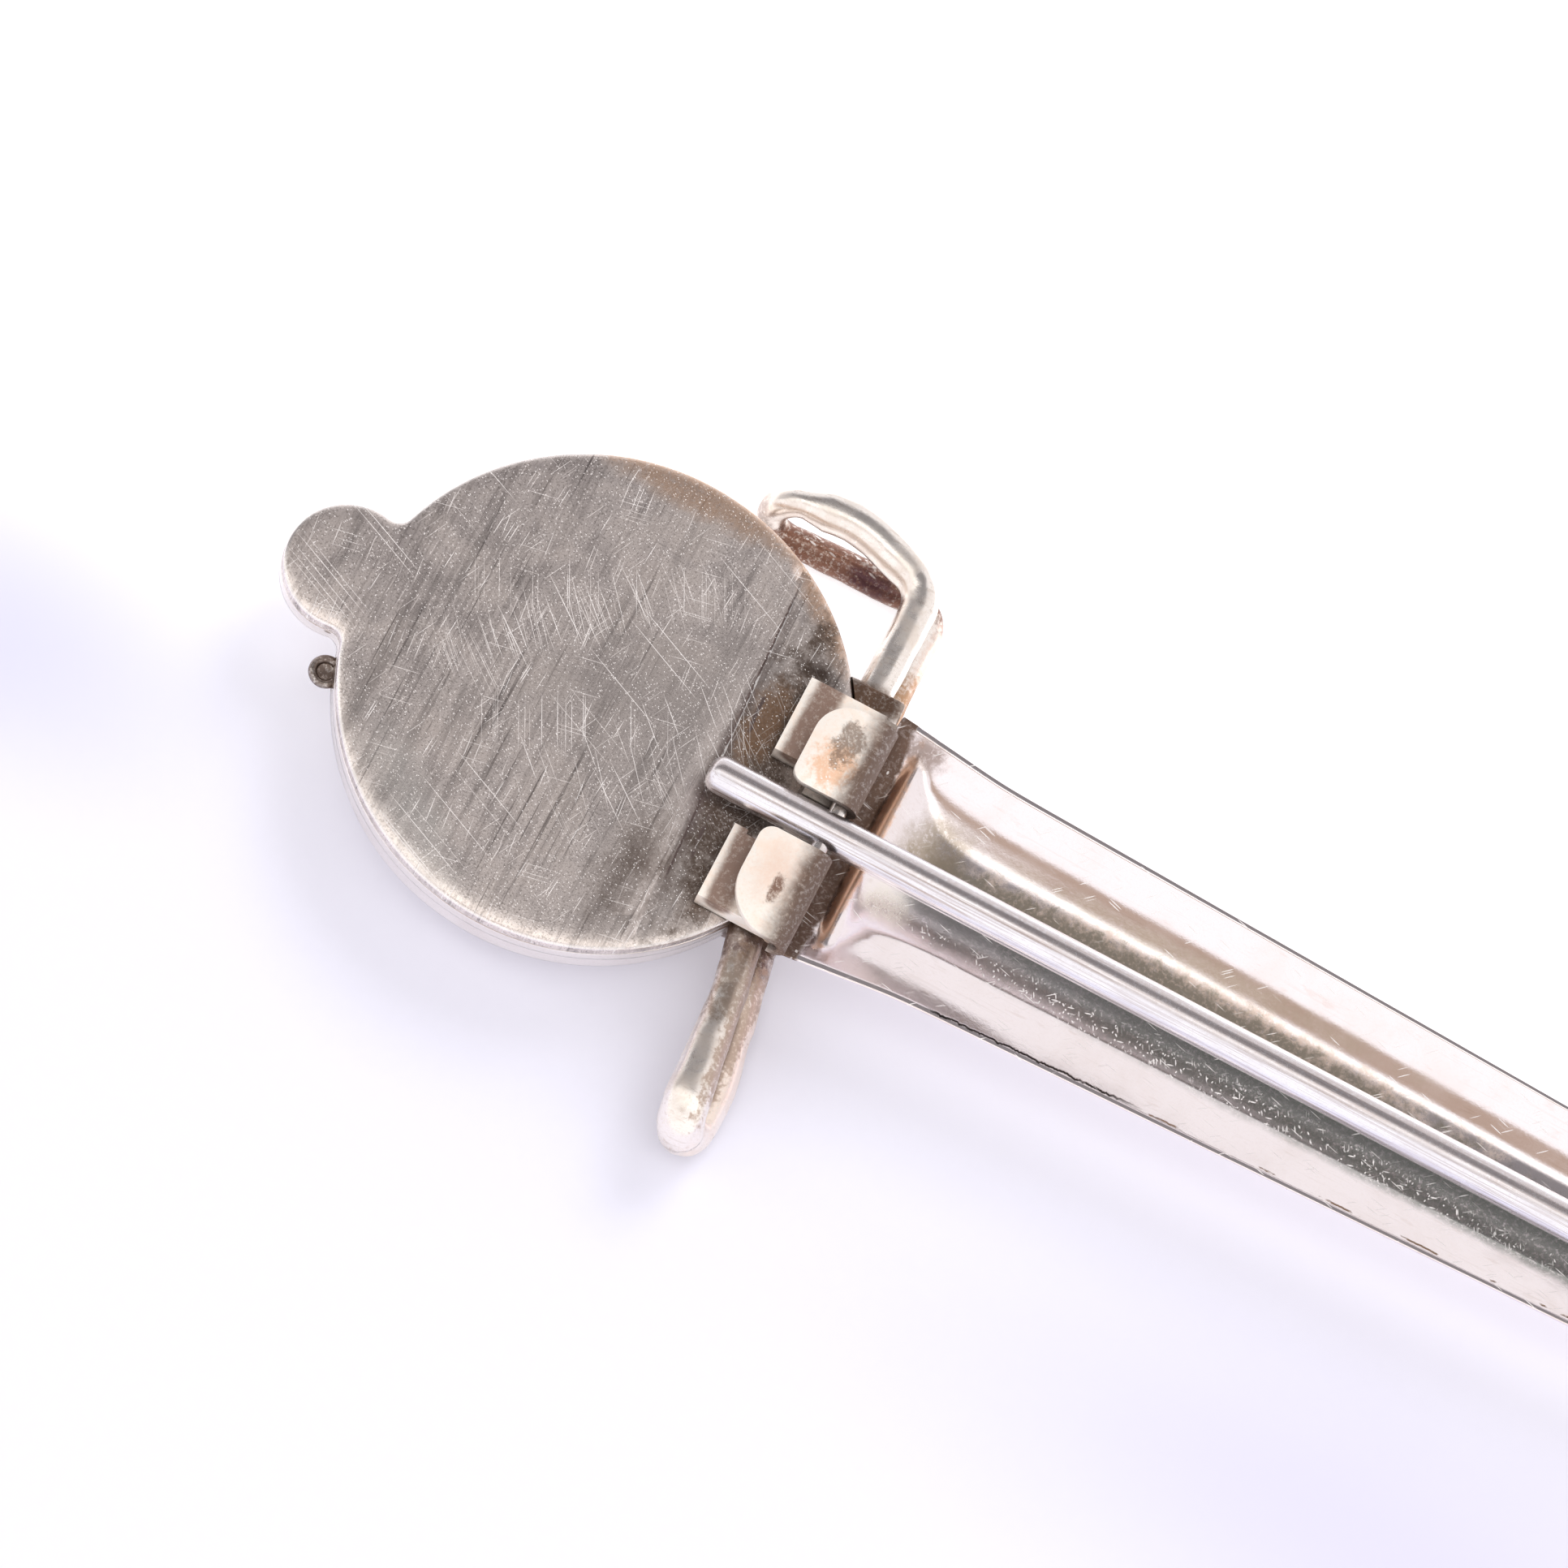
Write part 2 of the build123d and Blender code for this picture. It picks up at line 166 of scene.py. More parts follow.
def pick_points(obj: bpy.types.Object, test: Test) -> None:
    """Selects the points that pass a test on their place in millimetres.

    Args:
        obj: The object open in edit mode.
        test: Takes a point in millimetres from the middle of the hilt plate.
    """
    bpy.ops.mesh.select_mode(type="VERT")
    bpy.ops.mesh.select_all(action="DESELECT")
    mesh = bmesh.from_edit_mesh(obj.data)
    for point in mesh.verts:
        point.select_set(test(seen_at(*point.co)))
    mesh.select_flush(True)
    bmesh.update_edit_mesh(obj.data)


def extrude(dx: float, dy: float, dz: float) -> None:
    """Extrudes what is selected by a step in millimetres."""
    step = (dx * MM, dy * MM, dz * MM)
    bpy.ops.mesh.extrude_region_move(TRANSFORM_OT_translate={"value": step})


def turn_round(middle: Vector, axis: Vector, angle: float, steps: int) -> None:
    """Spins what is selected round an axis, anticlockwise as seen from the axis's end.

    Args:
        middle: Point of the frame on the axis.
        axis: Direction of the axis.
        angle: In radians.
        steps: Number of facets.
    """
    bpy.ops.mesh.spin(steps=steps, angle=-angle, center=middle, axis=axis)


def widen(sx: float, sy: float, sz: float, middle: Vector) -> None:
    """Scales what is selected about a point of the frame."""
    bpy.ops.transform.resize(value=(sx, sy, sz), center_override=middle)


def finish_with(obj: bpy.types.Object, kind: str, **settings: object) -> None:
    """Adds a modifier with its settings and applies it.

    Args:
        obj: The object to change.
        kind: Type of the modifier.
        **settings: Its properties.
    """
    bpy.ops.object.select_all(action="DESELECT")
    obj.select_set(True)
    bpy.context.view_layer.objects.active = obj
    modifier = obj.modifiers.new(kind.lower(), kind)
    for key, value in settings.items():
        setattr(modifier, key, value)
    bpy.ops.object.modifier_apply(modifier=modifier.name)


def smooth(obj: bpy.types.Object, angle: float = 40.0) -> None:
    """Shades an object smooth, apart from its sharp edges.

    Args:
        obj: The object.
        angle: How many degrees an edge turns before it counts as sharp.
    """
    bpy.ops.object.select_all(action="DESELECT")
    obj.select_set(True)
    bpy.context.view_layer.objects.active = obj
    bpy.ops.object.shade_smooth_by_angle(angle=math.radians(angle))


def outward(obj: bpy.types.Object) -> None:
    """Merges doubles and turns every face outwards.

    Args:
        obj: A closed mesh.
    """
    with editing(obj):
        bpy.ops.mesh.select_all(action="SELECT")
        bpy.ops.mesh.remove_doubles(threshold=MERGE * MM)
        bpy.ops.mesh.normals_make_consistent(inside=False)


def join(pieces: list[bpy.types.Object], name: str) -> bpy.types.Object:
    """Joins finished meshes into one object.

    Args:
        pieces: The objects, the first of which stays.
        name: Name of the joined object.

    Returns:
        The joined object.
    """
    bpy.ops.object.select_all(action="DESELECT")
    for piece in pieces:
        piece.select_set(True)
    bpy.context.view_layer.objects.active = pieces[0]
    bpy.ops.object.join()
    pieces[0].name = name
    return pieces[0]


@dataclass(frozen=True)
class Wobble:
    """Unevenness of hand-worked metal: how deep and how wide, in millimetres."""

    depth: float
    width: float

    def work(self, obj: bpy.types.Object) -> None:
        """Presses the unevenness into a mesh.

        Args:
            obj: The mesh.
        """
        cloud = bpy.data.textures.new(obj.name + "_wobble", "CLOUDS")
        cloud.noise_scale = self.width * MM
        cloud.noise_depth = 2
        finish_with(obj, "DISPLACE", texture=cloud, texture_coords="LOCAL",
                    strength=self.depth * MM, mid_level=0.5)


@dataclass
class BentWire:
    """Wire along straight runs that are joined by round bends, thicker and thinner on its way."""

    name: str
    points: list[Place]
    bends: tuple[float, ...]
    radii: tuple[float, ...]
    corner: float = 0.90
    corner_facets: int = 6
    run_step: float = 0.3
    bend_step: float = 6.0

    def build(self) -> bpy.types.Object:
        """Draws the wire's hammered square section along its runs and round its bends.

        Returns:
            The closed wire.
        """
        route = [at(*point) for point in self.points]
        heading = (route[1] - route[0]).normalized()
        bpy.ops.object.select_all(action="DESELECT")
        bpy.ops.mesh.primitive_plane_add(
            size=2 * self.radii[0] * MM, location=route[0],
            rotation=heading.to_track_quat("Z", "Y").to_euler())
        obj = settle(self.name)
        with editing(obj):
            bpy.ops.mesh.select_all(action="SELECT")
            bpy.ops.mesh.bevel(offset=self.corner * self.radii[0] * MM,
                               segments=self.corner_facets, affect="VERTICES")
            bpy.ops.mesh.select_all(action="SELECT")
            here = route[0]
            for index, bend in enumerate(self.bends, start=1):
                swell = self.radii[index] / self.radii[index - 1]
                here = self.turn_corner(here, route[index], route[index + 1], bend * MM, swell)
            self.run_to(here, route[-1], self.radii[-1] / self.radii[-2])
        outward(obj)
        return obj

    def run_to(self, here: Vector, there: Vector, swell: float) -> None:
        """Extrudes the open end along a straight run in short steps.

        Args:
            here: Middle of the open end.
            there: End of the run.
            swell: Radius at the end, as a share of that at the start.
        """
        run = there - here
        count = max(1, round(run.length / (self.run_step * MM)))
        share = swell ** (1 / count)
        for step in range(1, count + 1):
            extrude(*(run / count / MM))
            widen(share, share, share, here + run * step / count)

    def turn_corner(self, here: Vector, corner: Vector, after: Vector, bend: float,
                    swell: float) -> Vector:
        """Runs up to a corner and spins the open end round it.

        Args:
            here: Middle of the open end.
            corner: Corner of the route.
            after: Next point of the route.
            bend: Radius of the bend in metres.
            swell: Radius after the run up to the corner, as a share of that before it.

        Returns:
            The middle of the open end after the bend.
        """
        into = (corner - here).normalized()
        out = (after - corner).normalized()
        angle = into.angle(out)
        setback = bend * math.tan(angle / 2)
        start = corner - into * setback
        self.run_to(here, start, swell)
        axis = into.cross(out).normalized()
        middle = start + axis.cross(into) * bend
        steps = max(3, round(math.degrees(angle) / self.bend_step))
        turn_round(middle, axis, angle, steps)
        return corner + out * setback


# Nodes of a finish


class Nodes:
    """Lays out the nodes of one tree."""

    def __init__(self, tree: bpy.types.NodeTree) -> None:
        """Takes the tree to work on."""
        self.tree = tree

    def feed(self, target: Socket, value: Given) -> None:
        """Links a socket to an input, or sets the input to a number, vector or colour.

        Args:
            target: The input.
            value: What it gets.
        """
        if isinstance(value, Socket):
            self.tree.links.new(value, target)
        elif isinstance(value, tuple) and target.type == "RGBA":
            target.default_value = (*value, 1.0)
        else:
            target.default_value = value

    def add(self, kind: str, inputs: dict[int | str, Given] | None = None,
            **settings: str | int) -> bpy.types.Node:
        """Adds a node and feeds its inputs.

        Args:
            kind: Its type, without the word ShaderNode.
            inputs: What its inputs get, by name or number.
            **settings: Its properties.

        Returns:
            The node.
        """
        node = self.tree.nodes.new("ShaderNode" + kind)
        for key, value in settings.items():
            setattr(node, key, value)
        for key, value in (inputs or {}).items():
            self.feed(node.inputs[key], value)
        return node

    def noise(self, vector: Socket, scale: float = 1.0, detail: float = 4.0,
              rough: float = 0.55, warp: float = 0.0) -> Socket:
        """Cloudy pattern from 0 to 1."""
        return self.add("TexNoise", {"Vector": vector, "Scale": scale, "Detail": detail,
                                     "Roughness": rough, "Distortion": warp}).outputs["Fac"]

    def strokes(self, vector: Socket) -> tuple[Socket, Socket]:
        """Dots scattered over a flat pattern.

        Args:
            vector: Coordinates of the pattern.

        Returns:
            The distance to the nearest dot and that dot's random number.
        """
        dots = self.add("TexVoronoi", {"Vector": vector, "Scale": 1.0}, voronoi_dimensions="2D")
        number = self.add("SeparateColor", {0: dots.outputs["Color"]}).outputs[0]
        return dots.outputs["Distance"], number

    def axis(self, vector: Socket, index: int) -> Socket:
        """One part of a vector."""
        return self.add("SeparateXYZ", {0: vector}).outputs[index]

    def corner(self, reach: float) -> Socket:
        """How open a place is: 1 in the open and less in corners within reach, in millimetres."""
        return self.add("AmbientOcclusion", {"Distance": reach * MM}, samples=4).outputs["AO"]

    def span(self, value: Value, low: float, high: float,
             to_low: float = 0.0, to_high: float = 1.0) -> Socket:
        """Maps a range softly to another one and holds it there."""
        ends = {"From Min": low, "From Max": high, "To Min": to_low, "To Max": to_high}
        return self.add("MapRange", {"Value": value} | ends,
                        interpolation_type="SMOOTHSTEP").outputs["Result"]

    def maths(self, operation: str, first: Value, second: Value = 0.0) -> Socket:
        """Joins two values by an operation."""
        return self.add("Math", {0: first, 1: second}, operation=operation).outputs["Value"]

    def times(self, first: Value, second: Value) -> Socket:
        """Product of two values."""
        return self.maths("MULTIPLY", first, second)

    def mix(self, share: Value, first: Socket | Colour, second: Socket | Colour) -> Socket:
        """Blends two colours by a share."""
        return self.add("Mix", {0: share, 6: first, 7: second}, data_type="RGBA").outputs[2]

    def blend(self, share: Value, first: Value, second: Value) -> Socket:
        """Blends two numbers by a share."""
        return self.add("Mix", {0: share, 2: first, 3: second}, data_type="FLOAT").outputs[0]

    def length(self, vector: Socket) -> Socket:
        """Length of a vector."""
        return self.add("VectorMath", {0: vector}, operation="LENGTH").outputs["Value"]

    def facing(self) -> Socket:
        """How far the metal faces upwards: 1 on a level top and 0 on an upright side."""
        return self.axis(self.add("NewGeometry").outputs["Normal"], 2)

    def bump(self, height: Socket) -> Socket:
        """Normal of a height pattern in millimetres."""
        node = self.add("Bump", {"Strength": 1.0, "Distance": MM, "Height": height})
        return node.outputs["Normal"]


class Bench(Nodes):
    """Lays out the nodes of one finish."""

    def __init__(self, name: str) -> None:
        """Starts an empty finish with a metal shader on its output.

        Args:
            name: Name of the material.
        """
        self.material = bpy.data.materials.new(name)
        self.material.use_nodes = True
        super().__init__(self.material.node_tree)
        self.tree.nodes.clear()
        self.shader = self.add("BsdfPrincipled")
        self.add("OutputMaterial", {"Surface": self.shader.outputs["BSDF"]})
        self.place = self.add("TexCoord").outputs["Object"]

    def turned(self, middle: Place = (0.0, 0.0, 0.0), turn: float = 0.0,
               stretch: Place = (1.0, 1.0, 1.0)) -> Socket:
        """Coordinates about a middle, turned and stretched.

        Args:
            middle: In millimetres from the middle of the hilt plate.
            turn: Degrees about the upright axis.
            stretch: Size of one unit of the result along each axis, in millimetres.

        Returns:
            The vector socket.
        """
        node = self.add("Mapping", {"Vector": self.place, "Location": at(*middle),
                                    "Rotation": (0.0, 0.0, math.radians(turn)),
                                    "Scale": tuple(size * MM for size in stretch)},
                        vector_type="TEXTURE")
        return node.outputs["Vector"]


SOFT_EDGE = 0.12
GRAIN_DEPTH = 0.004
CRACK_DEPTH = 0.004
# Roughness of polished edges that carry painted highlight.
POLISHED_LIT_EDGE_ROUGH = 0.18
# Roughness and metal of bright scratched lines and painted glints.
SCRATCH_AND_GLINT_ROUGH = 0.6
SCRATCH_AND_GLINT_METAL = 0.1
# Roughness of corner tarnish with its painted shade.
CORNER_TARNISH_AND_SHADE_ROUGH = 0.55


@dataclass(frozen=True)
class StainAndPaintedLight:
    """Ragged patch as a soft ellipsoid: tarnish, fire staining or wear, and in some places
    painted shade, painted highlight or painted reflection.
    """

    middle: Place
    size: Place
    colour: Colour
    rough: float = 0.45
    turn: float = 0.0
    ragged: float = 0.6
    grain: float = 1.2
    share: float = 1.0
    soft: float = 0.7
    mottle: float = 0.55

    def mask(self, bench: Bench) -> Socket:
        """Where the patch covers the metal.

        Args:
            bench: The finish being laid out.

        Returns:
            A value from 0 to 1.
        """
        reach = bench.length(bench.turned(self.middle, self.turn, self.size))
        cloud = bench.noise(bench.turned(self.middle), self.grain, 7.0, 0.7, 0.3)
        edge = bench.maths("ADD", reach, bench.times(cloud, self.ragged * 2))
        rim = 1.0 + self.ragged + SOFT_EDGE
        cover = bench.span(edge, rim, rim - self.soft, 0.0, self.share)
        fine = bench.noise(bench.turned(self.middle), 7.0, 3.0, 0.7)
        return bench.times(cover, bench.span(fine, 0.30, 0.52, 1.0 - self.mottle, 1.0))


@dataclass(frozen=True)
class ScratchesAndGlints:
    """Set of straight scratched lines in one direction, painted bright as their glint; in the
    glint zones they are painted glints alone.
    """

    turn: float
    length: float
    width: float
    amount: float
    bright: float
    zone: StainAndPaintedLight | None = None

    def mask(self, bench: Bench) -> Socket:
        """Where the lines and painted glints run.

        Args:
            bench: The finish being laid out.

        Returns:
            A value from 0 to 1.
        """
        vector = bench.turned((self.turn / 7, self.turn / 3, 0.0), self.turn,
                              (self.length * 2, self.width * 4, 1.0))
        distance, number = bench.strokes(vector)
        line = bench.span(distance, 0.25, 0.12, 0.0, self.bright)
        line = bench.times(line, bench.span(number, self.amount, 0.0))
        if self.zone is None:
            return line
        return bench.times(line, self.zone.mask(bench))


@dataclass(frozen=True)
class Streaks:
    """Soft streaks in one direction, as rolling and grinding leave them."""

    turn: float
    size: Place
    start: float
    colour: Colour
    share: float

    def mask(self, bench: Bench) -> Socket:
        """Where the streaks run, from 0 to 1."""
        cloud = bench.noise(bench.turned((3.0, 1.0, 0.0), self.turn, self.size), rough=0.6)
        return bench.span(cloud, self.start, self.start + SOFT_EDGE, 0.0, self.share)


@dataclass(frozen=True)
class CrackOrPaintedHighlight:
    """Wandering line along one direction, broken here and there: dark, or bright where it is a
    painted highlight.
    """

    start: Place
    turn: float
    length: float
    width: float
    wander: float
    colour: Colour
    broken: float = 0.4

    def mask(self, bench: Bench) -> Socket:
        """Where the line runs.

        Args:
            bench: The finish being laid out.

        Returns:
            A value from 0 to 1.
        """
        along = bench.turned(self.start, self.turn)
        wave = bench.noise(bench.turned(self.start, self.turn, (0.5, 40.0, 40.0)), 1.0, 5.0, 0.7)
        sway = bench.times(bench.maths("SUBTRACT", wave, 0.5), self.wander * 4)
        side = bench.maths("ABSOLUTE", bench.maths("ADD", bench.axis(along, 1), sway))
        line = bench.span(side, self.width, self.width * 0.3)
        gaps = bench.noise(bench.turned(self.start), 1.1, 3.0)
        far = bench.axis(along, 0)
        ends = bench.times(bench.span(far, 0.0, 0.6),
                           bench.span(far, self.length, self.length - 1.5))
        unbroken = bench.span(gaps, self.broken, self.broken + 0.08)
        return bench.times(line, bench.times(ends, unbroken))


@dataclass(frozen=True)
class CornerTarnishAndShade:
    """Dark tarnish that polishing leaves in corners, together with painted shade there: darker
    where the ambient occlusion finds the metal enclosed.
    """

    colour: Colour
    reach: float = 1.2
    start: float = 0.75
    full: float = 0.35
    share: float = 1.0

    def mask(self, bench: Bench) -> Socket:
        """Where the tarnish and painted shade lie.

        Args:
            bench: The finish being laid out.

        Returns:
            A value from 0 to 1.
        """
        cloud = bench.noise(bench.turned(), 2.2, 6.0, 0.65)
        drift = bench.times(bench.maths("SUBTRACT", cloud, 0.5), 0.8)
        openness = bench.maths("ADD", bench.corner(self.reach), drift)
        return bench.span(openness, self.start, self.full, 0.0, self.share)


@dataclass
class Coat:
    """A finish on its way: what its colour, roughness, relief and metal are so far."""

    bench: Bench
    colour: Socket
    rough: Socket
    height: Socket
    metal: Value

    def cover(self, mask: Socket, colour: Colour, rough: float) -> None:
        """Lays a colour with its own roughness where a mask says."""
        self.colour = self.bench.mix(mask, self.colour, colour)
        self.rough = self.bench.blend(mask, self.rough, rough)

    def finish(self) -> bpy.types.Material:
        """Puts the coat on its shader.

        Returns:
            The material.
        """
        shader = self.bench.shader
        self.bench.feed(shader.inputs["Base Color"], self.colour)
        self.bench.feed(shader.inputs["Roughness"], self.rough)
        self.bench.feed(shader.inputs["Metallic"], self.metal)
        self.bench.feed(shader.inputs["Normal"], self.bench.bump(self.height))
        return self.bench.material


@dataclass(frozen=True)
class Silver:
    """Worn silver with grinding streaks, grain, scratched lines, patches and tarnish, with
    painted shade and painted highlights among them.
    """

    name: str
    colour: Colour
    shade: Colour
    rough: float
    cloud_size: float = 2.5
    cloud_share: float = 0.5
    grain_size: float = 0.09
    grain_share: float = 0.3
    pit_depth: float = 0.004
    pit_size: float = 0.25
    streaks: tuple[Streaks, ...] = ()
    stains_and_painted_light: tuple[StainAndPaintedLight, ...] = ()
    cracks_and_highlights: tuple[CrackOrPaintedHighlight, ...] = ()
    scratches_and_glints: tuple[ScratchesAndGlints, ...] = ()
    corner_tarnish_and_shade: CornerTarnishAndShade | None = None
    # Bright colour of polished edges and scratched lines, which also paints their highlight.
    line: Colour = (0.97, 0.94, 0.92)
    metal: float = 1.0
    # Share of polish and painted highlight on the edges.
    edge: float = 0.0

    def ground(self) -> Coat:
        """Bare metal with its clouds, grain and pits.

        Returns:
            The coat before streaks, wear, tarnish and painted light.
        """
        bench = Bench(self.name)
        cloud = bench.noise(bench.turned(), 1.0 / self.cloud_size, 6.0, 0.6, 0.4)
        grain = bench.noise(bench.turned(), 1.0 / self.grain_size, 2.0, 0.6)
        pits = bench.noise(bench.turned(), 1.0 / self.pit_size, 5.0, 0.7)
        patchy = bench.span(cloud, 0.42, 0.72, 0.0, self.cloud_share)
        speckled = bench.span(grain, 0.50, 0.68, 0.0, self.grain_share)
        colour = bench.mix(speckled, bench.mix(patchy, self.colour, self.shade), self.shade)
        rough = bench.blend(bench.span(cloud, 0.35, 0.7), self.rough * 0.8, self.rough * 1.3)
        height = bench.maths("ADD", bench.times(pits, self.pit_depth),
                             bench.times(grain, self.grain_share * GRAIN_DEPTH))
        return Coat(bench, colour, rough, height, self.metal)

    def polish_and_light_edges(self, coat: Coat) -> None:
        """Polishes the edges, where the metal turns away from level, and paints them bright as
        painted highlight.

        Args:
            coat: The coat, streaked but not stained.
        """
        facing = coat.bench.facing()
        # Polish and painted highlight where the metal tilts from level.
        worn = coat.bench.times(coat.bench.span(facing, 0.985, 0.90, 0.0, self.edge),
                                coat.bench.span(facing, 0.15, 0.40))
        coat.cover(worn, self.line, POLISHED_LIT_EDGE_ROUGH)

    def make(self) -> bpy.types.Material:
        """Lays out the finish: streaks, worn edges with painted highlight, tarnish patches with
        painted shade and light among them, lines, bright scratched lines and painted glints, and
        corner tarnish with painted shade.

        Returns:
            The material.
        """
        coat = self.ground()
        bench = coat.bench
        for streak in self.streaks:
            coat.colour = bench.mix(streak.mask(bench), coat.colour, streak.colour)
        # Polished edges with painted highlight.
        if self.edge:
            self.polish_and_light_edges(coat)
        # Tarnish and wear patches, some of them painted shade, painted highlight or painted
        # reflection.
        for stain_or_light in self.stains_and_painted_light:
            coat.cover(stain_or_light.mask(bench), stain_or_light.colour, stain_or_light.rough)
        # Dark lines and painted highlight lines.
        for crack_or_highlight in self.cracks_and_highlights:
            mask = crack_or_highlight.mask(bench)
            coat.colour = bench.mix(mask, coat.colour, crack_or_highlight.colour)
            coat.height = bench.maths("SUBTRACT", coat.height, bench.times(mask, CRACK_DEPTH))
        # Scratched lines and glints, painted bright as painted highlight.
        for scratch_or_glint in self.scratches_and_glints:
            line = scratch_or_glint.mask(bench)
            coat.cover(line, self.line, SCRATCH_AND_GLINT_ROUGH)
            coat.metal = bench.blend(line, coat.metal, SCRATCH_AND_GLINT_METAL)
        # Corner tarnish with painted shade.
        if self.corner_tarnish_and_shade is not None:
            coat.cover(self.corner_tarnish_and_shade.mask(bench), self.corner_tarnish_and_shade.colour, CORNER_TARNISH_AND_SHADE_ROUGH)
        return coat.finish()


def dress(obj: bpy.types.Object, finish: Silver) -> None:
    """Gives a new piece its one finish."""
    obj.data.materials.clear()
    obj.data.materials.append(finish.make())


def hand_over(obj: bpy.types.Object, body: Body, slot: Slot, *nodes: str) -> None:
    """Puts a finished piece on its body and lets it stand for its nodes.

    Args:
        obj: The finished piece.
        body: The body that it rides on.
        slot: The record's slot for its finish; not used.
        *nodes: The nodes that it stands for.
    """
    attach(obj, body.value)
    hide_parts(*nodes)
    log.info("%s stands for %s, %d faces", obj.name, ", ".join(nodes), len(obj.data.polygons))


def worn_copy(node: str, name: str, wear: float,
              before: Callable[[bpy.types.Object], None] | None = None) -> bpy.types.Object:
    """Copies a node's shape, merges it and rounds its edges as wear does.

    Args:
        node: Name of the node.
        name: Name of the copy.
        wear: How far the rounding reaches, in millimetres.
        before: Hand work on the merged mesh before the rounding.

    Returns:
        The rounded copy.
    """
    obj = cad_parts[node].copy()
    obj.data = obj.data.copy()
    obj.name = name
    obj.data.name = name
    for key in list(obj.keys()):
        if key.startswith("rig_"):
            del obj[key]
    obj.parent = None
    obj.matrix_world = Matrix.Identity(4)
    bpy.context.scene.collection.objects.link(obj)
    obj.hide_render = False
    with editing(obj):
        bpy.ops.mesh.select_all(action="SELECT")
        bpy.ops.mesh.remove_doubles(threshold=COPY_MERGE * MM)
        bpy.ops.mesh.dissolve_limited(angle_limit=math.radians(COPY_FLAT))
        if before is not None:
            before(obj)
    finish_with(obj, "BEVEL", width=wear * MM, segments=3, limit_method="ANGLE",
                angle_limit=math.radians(COPY_SHARP), use_clamp_overlap=True)
    smooth(obj)
    return obj


# The pin's sub-assemblies


@dataclass
class Hilt:
    """Round basket with its pommel, closed by a flat back plate."""

    radius: float = PLATE_R
    pommel_r: float = 2.22
    pommel: tuple[float, float] = (-9.35, 0.12)
    neck_r: float = 0.55
    plate_t: float = 0.6
    wall_z: float = 1.7
    flat_r: float = 3.0
    pommel_flat_r: float = 0.7
    pommel_z: float = 2.4
    pommel_low_z: float = 1.4
    seam: float = 0.02
    ledge: float = 0.03
    wear: float = 0.07
    rim_wear: float = 0.04
    sharp: float = 50.0
    plate_sharp: float = 25.0
    disc_steps: int = 120
    pommel_steps: int = 18
    neck_steps: int = 8
    dome_facets: int = 128
    dome_steps: int = 12
    curl_at: Place = (-8.42, -2.95, 1.8)
    curl_r: float = 0.44
    curl_wire_r: float = 0.15
    curl_turn: float = 300.0
    curl_steps: int = 60
    leaf_t: float = 0.1
    leaf_dish: float = 0.04
    # Steps of the plate's soft edge, each as (inwards, upwards).
    pillow: tuple[tuple[float, float], ...] = (
        (0.14, 0.046), (0.20, 0.034), (0.32, 0.020), (0.5, 0.010))
    # Scribed lines, each as (place along the blade, width, depth).
    lines: tuple[tuple[float, float, float], ...] = ((4.45, 0.18, 0.065), (4.86, 0.12, 0.035))
    lines_lean: float = 2.9

    def outline(self, name: str, top: float, height: float) -> bpy.types.Object:
        """Draws basket and pommel in one outline by spinning a point round its arcs.

        Args:
            name: Name of the piece.
            top: Height of its upper face.
            height: How far it is extruded downwards.

        Returns:
            The closed slab.
        """
        px, py = self.pommel
        apart = math.hypot(px, py)
        far = self.radius + self.neck_r
        near = self.pommel_r + self.neck_r
        lean = math.atan2(py, px)
        at_disc = math.acos((apart**2 + far**2 - near**2) / (2 * apart * far))
        at_pommel = math.acos((apart**2 + near**2 - far**2) / (2 * apart * near))
        necks = [(far * math.cos(lean + side * at_disc), far * math.sin(lean + side * at_disc))
                 for side in (-1, 1)]
        bpy.ops.object.select_all(action="DESELECT")
        start = at(px + self.pommel_r * math.cos(lean), py + self.pommel_r * math.sin(lean), top)
        bpy.ops.mesh.primitive_plane_add(size=MM, location=start)
        obj = settle(name)
        turn_pommel = math.pi - at_pommel
        turn_neck = math.pi - at_disc - at_pommel
        turns = [((px, py), turn_pommel, self.pommel_steps),
                 (necks[1], -turn_neck, self.neck_steps),
                 ((0.0, 0.0), 2 * (math.pi - at_disc), self.disc_steps),
                 (necks[0], -turn_neck, self.neck_steps),
                 ((px, py), turn_pommel, self.pommel_steps)]
        with editing(obj):
            bpy.ops.mesh.select_all(action="SELECT")
            bpy.ops.mesh.merge(type="CENTER")
            bpy.ops.mesh.select_all(action="SELECT")
            for (x, y), turn, steps in turns:
                turn_round(at(x, y, top), Vector((0, 0, 1)), turn, steps)
            bpy.ops.mesh.select_all(action="SELECT")
            bpy.ops.mesh.remove_doubles(threshold=OUTLINE_MERGE * MM)
            bpy.ops.mesh.select_all(action="SELECT")
            bpy.ops.mesh.edge_face_add()
            extrude(0, 0, -height)
        outward(obj)
        return obj

    def back_plate(self) -> bpy.types.Object:
        """Flat plate with a worn edge and two scribed lines.

        Returns:
            The plate.
        """
        low = sum(step[1] for step in self.pillow)
        obj = self.outline("hilt_back_plate_silver", BACK_Z - low, self.plate_t - low)
        with editing(obj):
            pick_points(obj, lambda p: p.z > BACK_Z - low - 0.01)
            for inward, rise in self.pillow:
                bpy.ops.mesh.inset(thickness=inward * MM, depth=rise * MM)
        finish_with(obj, "BEVEL", width=self.wear * MM, segments=3, limit_method="ANGLE",
                    angle_limit=math.radians(self.sharp))
        for x, width, depth in self.lines:
            self.scribe(obj, x, width, depth)
        smooth(obj, self.plate_sharp)
        return obj

